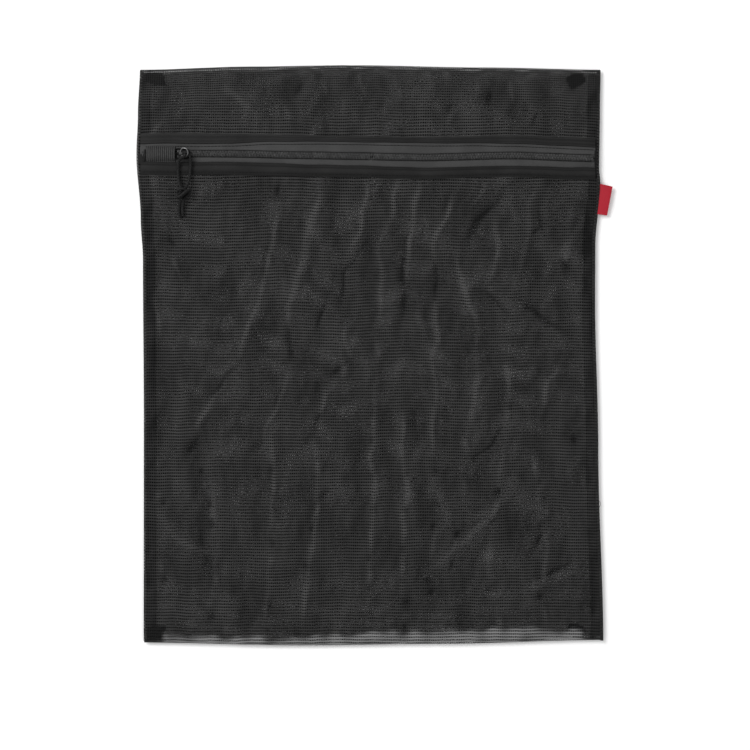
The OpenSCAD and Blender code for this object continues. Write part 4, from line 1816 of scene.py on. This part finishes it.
@dataclass
class Seams:
    """Binding tapes inside the side seams, their sewing and their turned ends."""

    shape: BagShape
    height: float = 1.7 * MM

    def binding(self, side: Side) -> bpy.types.Object:
        """Make one binding tape, folded round the raw edges.

        Args:
            side: The left or the right side.

        Returns:
            The tape.
        """
        shape = self.shape
        edge = shape.left if side is Side.LOW else shape.right
        section = np.array(
            [(0.8, 0.45), (3, 0.5), (6, 0.55), (8.8, 0.5), (9.9, 0.32), (10.3, 0), (9.9, -0.32), (8.8, -0.5),
             (6, -0.55), (3, -0.5), (0.8, -0.45)], float,
        )
        fine = smooth_route(section, 3)
        keys = np.linspace(0, 1, len(fine))

        def place(s: Array, t: Array) -> Array:
            """Lay the tape; s goes round its section and t along it."""
            turn = s if side is Side.LOW else 1 - s
            y = -shape.half_l + 5 * MM + t * (2 * shape.half_l - 10 * MM)
            w = np.interp(turn, keys, fine[:, 0]) + 0.5 * waves(y / MM, 0, 60, SEED + 60 + side.value)
            h = np.interp(turn, keys, fine[:, 1])
            x = edge(y) - side.value * w * MM
            over, under = shape.front_z(x, y) - shape.seam_z, shape.seam_z - shape.back_z(x, y)
            room = np.minimum(over, under) - 0.45 * MM
            z = shape.seam_z + h * np.clip(room / 0.55, 0.25 * MM, self.height)
            return np.stack([x, y, z], axis=1)

        name = "left_binding_tape" if side is Side.LOW else "right_binding_tape"
        piece = cloth_grid(name, 24, 200, place, even_cloth(0.02, 0.49))
        thick_sheet(piece, 0.35 * MM)
        BINDING.dress(piece)
        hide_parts("left_binding" if side is Side.LOW else "right_binding")
        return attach(piece, Bodies.BAG.value)

    def sewing(self, side: Side) -> bpy.types.Object:
        """Make one row of seam sewing on the binding tape.

        Args:
            side: The left or the right side.

        Returns:
            The row.
        """
        shape = self.shape
        edge = shape.left if side is Side.LOW else shape.right
        length, gap = 2.6 * MM, 0.8 * MM
        start = -shape.half_l + 7 * MM
        points = np.array([(0, start, -0.15 * MM), (0, start + 0.3 * length, 0.1 * MM),
                           (0, start + 0.7 * length, 0.1 * MM), (0, start + length, -0.15 * MM)])
        name = "left_seam_sewing" if side is Side.LOW else "right_seam_sewing"
        piece = tube(name, points, 0.2 * MM, 0)
        repeated(piece, int((2 * shape.half_l - 14 * MM) / (length + gap)), (0, length + gap, 0))
        co = points_of(piece)
        x = edge(co[:, 1]) - side.value * 2.4 * MM
        room = np.minimum(shape.front_z(x, co[:, 1]) - shape.seam_z, 2 * MM)
        move_points(piece, np.stack([x + co[:, 0], co[:, 1], shape.seam_z + 0.62 * room + co[:, 2]], axis=1))
        smooth(piece, 80)
        THREAD.dress(piece)
        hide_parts("left_seam_thread" if side is Side.LOW else "right_seam_thread")
        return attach(piece, Bodies.BAG.value)

    def turned_end(self, node: str) -> bpy.types.Object:
        """Make a turned tape end in a corner, from its packed outline, under the mesh.

        Args:
            node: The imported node.

        Returns:
            The piece.
        """
        shape = self.shape
        activate(frame["nodes"][node])
        clear_selection()
        mesh = frame["nodes"][node].data.copy()
        piece = bpy.data.objects.new(node.replace("_tape_end", "_turned_end"), mesh)
        bpy.context.scene.collection.objects.link(piece)
        outward(piece)
        activate(piece)
        bpy.ops.object.mode_set(mode="EDIT")
        bpy.ops.mesh.select_all(action="SELECT")
        bpy.ops.mesh.dissolve_limited(angle_limit=0.02)
        bpy.ops.mesh.bevel(offset=0.25 * MM, segments=2, affect="EDGES")
        bpy.ops.mesh.select_all(action="SELECT")
        bpy.ops.mesh.quads_convert_to_tris()
        bpy.ops.mesh.subdivide(number_cuts=4)
        bpy.ops.object.mode_set(mode="OBJECT")
        co = points_of(piece)
        low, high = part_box(node)
        up = (co[:, 2] - low.z) / (high.z - low.z)
        x = np.clip(co[:, 0], shape.left(co[:, 1]) + 2 * MM, shape.right(co[:, 1]) - 2 * MM)
        under = shape.front_z(x, co[:, 1]) - 0.25 * MM
        ripple = 0.12 * MM * waves(co[:, 0] / MM, co[:, 1] / MM, 7, SEED + 70)
        co[:, 2] = under - (1 - up) * 0.7 * MM + ripple - 0.15 * MM
        move_points(piece, co)
        smooth(piece, 50)
        BINDING.dress(piece)
        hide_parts(node)
        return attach(piece, Bodies.BAG.value)

    def stray_thread(self) -> bpy.types.Object:
        """Make the short loose end of sewing thread on the right side.

        Returns:
            The thread.
        """
        edge = float(self.shape.right(-126 * MM))
        bends = ((-2.5, 5, 0.4), (-0.4, 3, 0.6), (1.2, 1, 0.3), (1.5, -1.4, -0.2), (0.6, -3.2, -0.8))
        line = smooth_route(np.array(bends) * MM, 5) + np.array([edge, -129 * MM, self.shape.seam_z])
        piece = smooth(tube("loose_thread_end", line, 0.16 * MM, 1), 80)
        THREAD.dress(piece)
        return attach(piece, Bodies.BAG.value)

    def build(self) -> list[bpy.types.Object]:
        """Make both seams and their ends.

        Returns:
            The pieces.
        """
        made = [self.binding(side) for side in Side] + [self.sewing(side) for side in Side]
        ends = [node for node in sorted(frame["nodes"]) if node.endswith("_tape_end")]
        return made + [self.turned_end(node) for node in ends] + [self.stray_thread()]


@dataclass
class SliderAndRing:
    """The zip slider, with its plates, flanges, wedge and bridge, and the wire ring on it."""

    shape: BagShape
    plate: float = 1.1 * MM
    rim: float = 0.38 * MM

    def plate_block(self, name: str, low: Vector, high: Vector, narrow: float) -> bpy.types.Object:
        """Make one plate: round corners, a soft rim and a narrower tail.

        Args:
            name: Name of the plate.
            low: Lowest corner.
            high: Highest corner.
            narrow: Width of the tail as a share of the nose's.

        Returns:
            The plate.
        """
        clear_selection()
        bpy.ops.mesh.primitive_cube_add(size=1, location=(low + high) / 2, scale=high - low)
        piece = place_in_mesh(named(name))
        middle = (low + high) / 2
        bpy.ops.object.mode_set(mode="EDIT")
        bpy.ops.mesh.select_all(action="DESELECT")
        bpy.ops.object.mode_set(mode="OBJECT")
        select_faces(piece, lambda face: face.normal.x > 0.9)
        bpy.ops.object.mode_set(mode="EDIT")
        bpy.ops.transform.resize(value=(1, narrow, 1), center_override=(high.x, middle.y, middle.z))
        bpy.ops.mesh.select_all(action="DESELECT")
        bpy.ops.object.mode_set(mode="OBJECT")
        for edge in piece.data.edges:
            a, b = (piece.data.vertices[i].co for i in edge.vertices)
            edge.select = abs(a.x - b.x) + abs(a.y - b.y) < 1e-6
        bpy.ops.object.mode_set(mode="EDIT")
        bpy.ops.mesh.select_mode(type="EDGE")
        bpy.ops.mesh.bevel(offset=2.3 * MM, segments=6, affect="EDGES")
        bpy.ops.mesh.select_mode(type="FACE")
        bpy.ops.object.mode_set(mode="OBJECT")
        return finish_with(piece, "BEVEL", width=self.rim, segments=3, limit_method="ANGLE", angle_limit=0.9)

    def crown(self, piece: bpy.types.Object) -> bpy.types.Object:
        """Inset the top of the upper plate and press its middle down a little."""
        top = max(v.co.z for v in piece.data.vertices)
        select_faces(piece, lambda face: face.normal.z > 0.99 and face.center.z > top - 1e-5)
        bpy.ops.object.mode_set(mode="EDIT")
        bpy.ops.mesh.inset(thickness=0.8 * MM, depth=0)
        bpy.ops.mesh.inset(thickness=0.3 * MM, depth=-0.14 * MM)
        bpy.ops.object.mode_set(mode="OBJECT")
        return piece

    def bridge(self) -> bpy.types.Object:
        """Make the arch that the ring hangs on: a plate bent in an arch by extruding.

        Returns:
            The arch.
        """
        _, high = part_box("slider_body")
        ring_low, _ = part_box("pull_ring")
        plate_top = ring_low.z - 0.3 * MM
        x0, x1 = ring_low.x + 0.6 * MM - 3 * MM, ring_low.x + 0.6 * MM + 3 * MM
        y = self.shape.slider.y
        rise = high.z - plate_top
        path = [(x0 + 0.5 * MM, plate_top - 0.3 * MM), (x0 + 0.5 * MM, plate_top + 0.52 * rise),
                (x0 + 0.72 * MM, plate_top + 0.72 * rise), (x0 + 1.25 * MM, high.z - 0.42 * MM)]
        path += [(x0 + x1 - x, z) for x, z in reversed(path)]
        clear_selection()
        bpy.ops.mesh.primitive_plane_add(size=1, location=(path[0][0], y, path[0][1]), scale=(1, 1, 1))
        piece = named("slider_bridge")
        bpy.ops.object.mode_set(mode="EDIT")
        bpy.ops.transform.resize(value=(0.85 * MM, 2.1 * MM, 1), center_override=(path[0][0], y, path[0][1]))
        bpy.ops.object.mode_set(mode="OBJECT")
        place_in_mesh(piece)
        bpy.ops.object.mode_set(mode="EDIT")
        bpy.ops.mesh.select_all(action="SELECT")
        for (ax, az), (bx, bz) in zip(path, path[1:]):
            bpy.ops.mesh.extrude_region_move(TRANSFORM_OT_translate={"value": (bx - ax, 0, bz - az)})
        bpy.ops.object.mode_set(mode="OBJECT")
        self.set_square(piece, path, y)
        outward(piece)
        finish_with(piece, "BEVEL", width=0.22 * MM, segments=3, limit_method="ANGLE", angle_limit=1.0)
        return piece

    @staticmethod
    def set_square(piece: bpy.types.Object, path: Sequence[tuple[float, float]], y: float) -> None:
        """Turn each ring of the arch square to its path, and keep its thickness even.

        Args:
            piece: The arch.
            path: Its middle line as (x, z).
            y: Its middle.
        """
        line = np.array(path)
        ahead = np.gradient(line, axis=0)
        ahead /= np.linalg.norm(ahead, axis=1)[:, None]
        co = points_of(piece)
        half_thick, half_wide = 0.425 * MM, 1.05 * MM
        for i in range(len(co)):
            k = int(np.argmin(np.hypot(line[:, 0] - co[i, 0], line[:, 1] - co[i, 2])))
            side = 1 if co[i, 0] > line[k, 0] else -1
            across = np.array([ahead[k, 1], -ahead[k, 0]]) * side * half_thick
            aside = half_wide * (1 if co[i, 1] > y else -1)
            co[i] = (line[k, 0] + across[0], y + aside, line[k, 1] + across[1])
        move_points(piece, co)

    def slider(self) -> bpy.types.Object:
        """Make the slider: two plates, two flanges, the wedge and the bridge.

        Returns:
            The slider.
        """
        low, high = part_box("slider_body")
        ring_low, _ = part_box("pull_ring")
        top = ring_low.z - 0.3 * MM
        over = top - self.plate
        corners = Vector((low.x, low.y, over)), Vector((high.x, high.y, top))
        upper = self.plate_block("slider_upper_plate", *corners, 0.8)
        self.crown(upper)
        lower = self.plate_block(
            "slider_lower_plate",
            Vector((low.x + 0.5 * MM, low.y + 0.5 * MM, low.z)),
            Vector((high.x - 0.5 * MM, high.y - 0.5 * MM, low.z + self.plate)),
            0.82,
        )
        parts = [upper, lower]
        for side in (-1, 1):
            y = self.shape.slider.y + side * 4.0 * MM
            parts.append(
                block(
                    "slider_flange",
                    (low.x + 2.2 * MM, y - 0.62 * MM, over - 1.9 * MM),
                    (high.x - 2.6 * MM, y + 0.62 * MM, over + 0.3 * MM),
                    0.25 * MM,
                )
            )
        middle = self.shape.slider.y
        parts.append(
            block(
                "slider_wedge",
                (low.x + 0.7 * MM, middle - 0.65 * MM, low.z + 0.8 * MM),
                (low.x + 3 * MM, middle + 0.65 * MM, over + 0.3 * MM),
                0.2 * MM,
            )
        )
        parts.append(self.bridge())
        piece = smooth(joined(parts, "zip_slider"), 35)
        SLIDER.dress(piece)
        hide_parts("slider_body")
        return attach(piece, Bodies.SLIDER.value)

    def ring(self) -> bpy.types.Object:
        """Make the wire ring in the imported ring's place, with its closed joint.

        Returns:
            The ring.
        """
        co = np.array([v.co for v in frame["nodes"]["pull_ring"].data.vertices])
        middle = (co.max(0) + co.min(0)) / 2
        axes = np.linalg.svd(co - co.mean(0), full_matrices=False)[2]
        axis = Vector(axes[2]) if axes[2][2] > 0 else -Vector(axes[2])
        flat = (co - middle) @ np.array([axes[0], axes[1]]).T
        outer = np.linalg.norm(flat, axis=1).max()
        wire = 0.56 * MM
        clear_selection()
        bpy.ops.mesh.primitive_torus_add(
            major_radius=outer - 0.6 * MM, minor_radius=wire, major_segments=64, minor_segments=16,
            location=middle, rotation=axis.to_track_quat("Z", "Y").to_euler(),
        )
        piece = place_in_mesh(named("wire_ring"))
        co = points_of(piece)
        centre = Vector(middle)
        first = Vector(axes[0])
        second = axis.cross(first)
        rel = co - np.array(centre)
        angle = np.arctan2(rel @ np.array(second), rel @ np.array(first))
        joint = np.exp(-(((angle - 2.2) / 0.035) ** 2))
        spoke = np.outer(np.cos(angle), first) + np.outer(np.sin(angle), second)
        hub = np.array(centre) + spoke * (outer - 0.6 * MM)
        move_points(piece, hub + (co - hub) * (1 - 0.22 * joint)[:, None])
        smooth(piece, 60)
        WIRE.dress(piece)
        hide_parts("pull_ring")
        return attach(piece, Bodies.RING.value)

    def build(self) -> list[bpy.types.Object]:
        """Make the slider and its ring.

        Returns:
            The pieces.
        """
        return [self.slider(), self.ring()]


@dataclass
class LeftEnd:
    """The ribbed elastic over the parked slider's end, and the sewing at both ends of the zip."""

    shape: BagShape
    rib: float = 1.8 * MM
    relief: float = 0.5

    def elastic(self) -> bpy.types.Object:
        """Make the ribbed elastic as an arched band over the end of the chain.

        Returns:
            The band.
        """
        shape = self.shape
        _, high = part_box("elastic_garage")
        half = 6.9
        section = np.array([(-half, 0.55), (-half + 0.9, 0.75), (-half + 2.3, 2.0), (-2.6, 2.95), (0, 3.05),
                            (2.6, 2.95), (half - 2.3, 2.0), (half - 0.9, 0.75), (half, 0.55)], float)
        fine = smooth_route(section, 4)
        keys = np.linspace(0, 1, len(fine))
        start = float(shape.left(shape.slider.y)) + 8.6 * MM

        def place(s: Array, t: Array) -> Array:
            """Lay the band; s goes along the zip and t across it."""
            x = start + (high.x - start) * s
            w = np.interp(t, keys, fine[:, 0])
            h = np.interp(t, keys, fine[:, 1])
            squeeze = 1 - 0.35 * smooth_step((0.1 - s) / 0.1)
            ribs = self.relief * (np.abs(np.sin(math.pi * (x - start) / self.rib)) ** 0.8 - 0.5)
            pull = 0.25 * waves(x / MM, w, 14, SEED + 80)
            y = shape.zip_y(x) + (w + pull * np.sign(w)) * MM
            z = shape.zip_z(x) + (h * squeeze + ribs * (0.4 + 0.6 * (1 - np.abs(w) / half))) * MM
            return np.stack([x, y, z], axis=1)

        cells = int((high.x - start) / (0.15 * MM))
        piece = cloth_grid("ribbed_elastic_cover", cells, 32, place, even_cloth(0.03, 0.014))
        ribs = np.abs(np.sin(math.pi * (points_of(piece)[:, 0] - start) / self.rib))
        give_value(piece, "rib", ribs**1.6)
        thick_sheet(piece, 0.7 * MM)
        ELASTIC.dress(piece)
        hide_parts("elastic_garage")
        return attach(piece, Bodies.BAG.value)

    def zigzag(
        self, name: str, corner: tuple[float, float], size: tuple[float, float], count: int, height: float,
        radius: float,
    ) -> bpy.types.Object:
        """Make close zigzag sewing over a small field.

        Args:
            name: Name of the sewing.
            corner: Its lowest corner, as place across and distance from the zip line.
            size: Its size across and along.
            count: Number of turns.
            height: Height over the tape.
            radius: Radius of the thread.

        Returns:
            The sewing.
        """
        share = np.linspace(0, 1, 2 * count + 1)
        x = corner[0] + size[0] * (0.5 + 0.5 * (-1) ** np.arange(2 * count + 1))
        w = corner[1] + size[1] * share
        line = np.stack([x, w, np.full(len(x), height)], axis=1)
        line = smooth_route(line, 4)
        y = self.shape.zip_y(line[:, 0]) + line[:, 1]
        z = self.shape.zip_z(line[:, 0]) + line[:, 2]
        piece = smooth(tube(name, np.stack([line[:, 0], y, z], axis=1), radius, 1), 80)
        THREAD.dress(piece)
        return piece

    def tab(self) -> bpy.types.Object:
        """Make the pale end of the tape that shows above the left edge.

        Returns:
            The tape end.
        """
        shape = self.shape
        low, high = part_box("zip_end_tab")
        left = low.x - 2.6 * MM

        def place(s: Array, t: Array) -> Array:
            """Lay the tape end; s goes across the bag and t along it."""
            x = left + (high.x + 0.4 * MM - left) * s
            y = low.y + 0.8 * MM + (high.y - low.y - 1.0 * MM) * t + 0.5 * MM * np.sin(3 * s)
            y = y - 0.5 * MM * (2 * t - 1) * (2 * s - 1) ** 4
            rise = 1.5 + 0.35 * np.sin(math.pi * t) - 0.9 * (1 - s) ** 2
            z = shape.front_z(np.maximum(x, shape.left(y) + 0.4 * MM), y) + rise * MM
            return np.stack([x, y, z], axis=1)

        piece = cloth_grid("zip_tape_end", 14, 14, place, even_cloth(0.006, 0.007))
        thick_sheet(piece, 0.45 * MM)
        TAB.dress(piece)
        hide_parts("zip_end_tab")
        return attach(piece, Bodies.BAG.value)

    def build(self) -> list[bpy.types.Object]:
        """Make the trims at both ends of the zip.

        Returns:
            The pieces.
        """
        low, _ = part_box("garage_thread")
        tack_low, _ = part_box("zip_end_tack")
        edge = float(self.shape.left(self.shape.slider.y))
        made = [self.elastic(), self.tab()]
        corner, size = (low.x - 2.6 * MM, -6.2 * MM), (1.2 * MM, 12.4 * MM)
        sewing = self.zigzag("elastic_end_sewing", corner, size, 14, 2.2 * MM, 0.28 * MM)
        co = points_of(sewing)
        off = np.abs(co[:, 1] - self.shape.zip_y(co[:, 0])) / MM
        co[:, 2] += MM * (0.35 - 2.0 * smooth_step((off - 2.2) / 4.2))
        move_points(sewing, co)
        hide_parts("garage_thread")
        made.append(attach(sewing, Bodies.BAG.value))
        corner, size = (edge + 1.2 * MM, -7.2 * MM), (6.0 * MM, 7.0 * MM)
        knot = self.zigzag("left_end_bar_tack", corner, size, 11, 1.2 * MM, 0.34 * MM)
        made.append(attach(knot, Bodies.BAG.value))
        corner, size = (tack_low.x - 0.4 * MM, -7.4 * MM), (1.3 * MM, 15 * MM)
        tack = self.zigzag("right_end_bar_tack", corner, size, 20, 0.9 * MM, 0.24 * MM)
        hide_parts("zip_end_tack")
        made.append(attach(tack, Bodies.BAG.value))
        return made


@dataclass
class SideLabel:
    """The blank folded ribbon sewn into the right seam."""

    shape: BagShape
    corners: Sequence[tuple[float, float]] = ((-4.2, 150.4), (9.7, 147.2), (4.9, 122.0), (-6.2, 123.6))
    thickness: float = 0.35 * MM

    def build(self) -> bpy.types.Object:
        """Make the folded ribbon, which bends where it leaves the seam.

        Returns:
            The label.
        """
        low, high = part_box("side_label")
        hinge = low.x
        corners = np.array([(hinge + x * MM, y * MM) for x, y in self.corners])

        def place(s: Array, t: Array) -> Array:
            """Lay the ribbon; s goes from the upper layer over its fold to the lower, t along it."""
            out = 1 - np.abs(2 * s - 1)
            out = out * out * (3 - 2 * out) * 0.15 + out * 0.85
            top = corners[0] + out[:, None] * (corners[1] - corners[0])
            base = corners[3] + out[:, None] * (corners[2] - corners[3])
            xy = base + t[:, None] * (top - base)
            apart = 0.42 * MM * (1 - out**6) * np.where(s < 0.5, 1, -1)
            ripple = 0.18 * MM * waves(xy[:, 0] / MM, xy[:, 1] / MM, 16, SEED + 90)
            curl = 0.7 * MM * out**2 * (0.4 + 0.6 * t) + ripple
            return np.stack([xy[:, 0], xy[:, 1], self.shape.seam_z + apart * 0.8 + curl], axis=1)

        piece = cloth_grid("side_label_ribbon", 32, 30, place, even_cloth(0.024, 0.027))
        thick_sheet(piece, self.thickness)
        LABEL.dress(piece)
        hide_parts("side_label")
        LOG.info("label %s stands %.1f mm out", piece.name, (high.x - low.x) / MM)
        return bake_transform(piece)


def report(title: str, pieces: Iterable[bpy.types.Object]) -> None:
    """Log what was made.

    Args:
        title: The sub-assembly.
        pieces: Its pieces.
    """
    for piece in pieces:
        LOG.info("%s: %s, %d faces", title, piece.name, len(piece.data.polygons))


def main() -> None:
    """Build the camera, the cord and every sub-assembly."""
    shape = BagShape()
    Studio().build()
    report("cord", [PullCord(shape).build()])
    seams = Seams(shape)
    report("seams", seams.build())
    cloth = MeshCloth(shape)
    report("mesh", cloth.build())
    report("zip", Zip(shape, cloth).build())
    report("left end", LeftEnd(shape).build())
    report("slider", SliderAndRing(shape).build())
    report("label", [SideLabel(shape).build()])
    clear_selection()


if __name__ == "__main__":
    main()
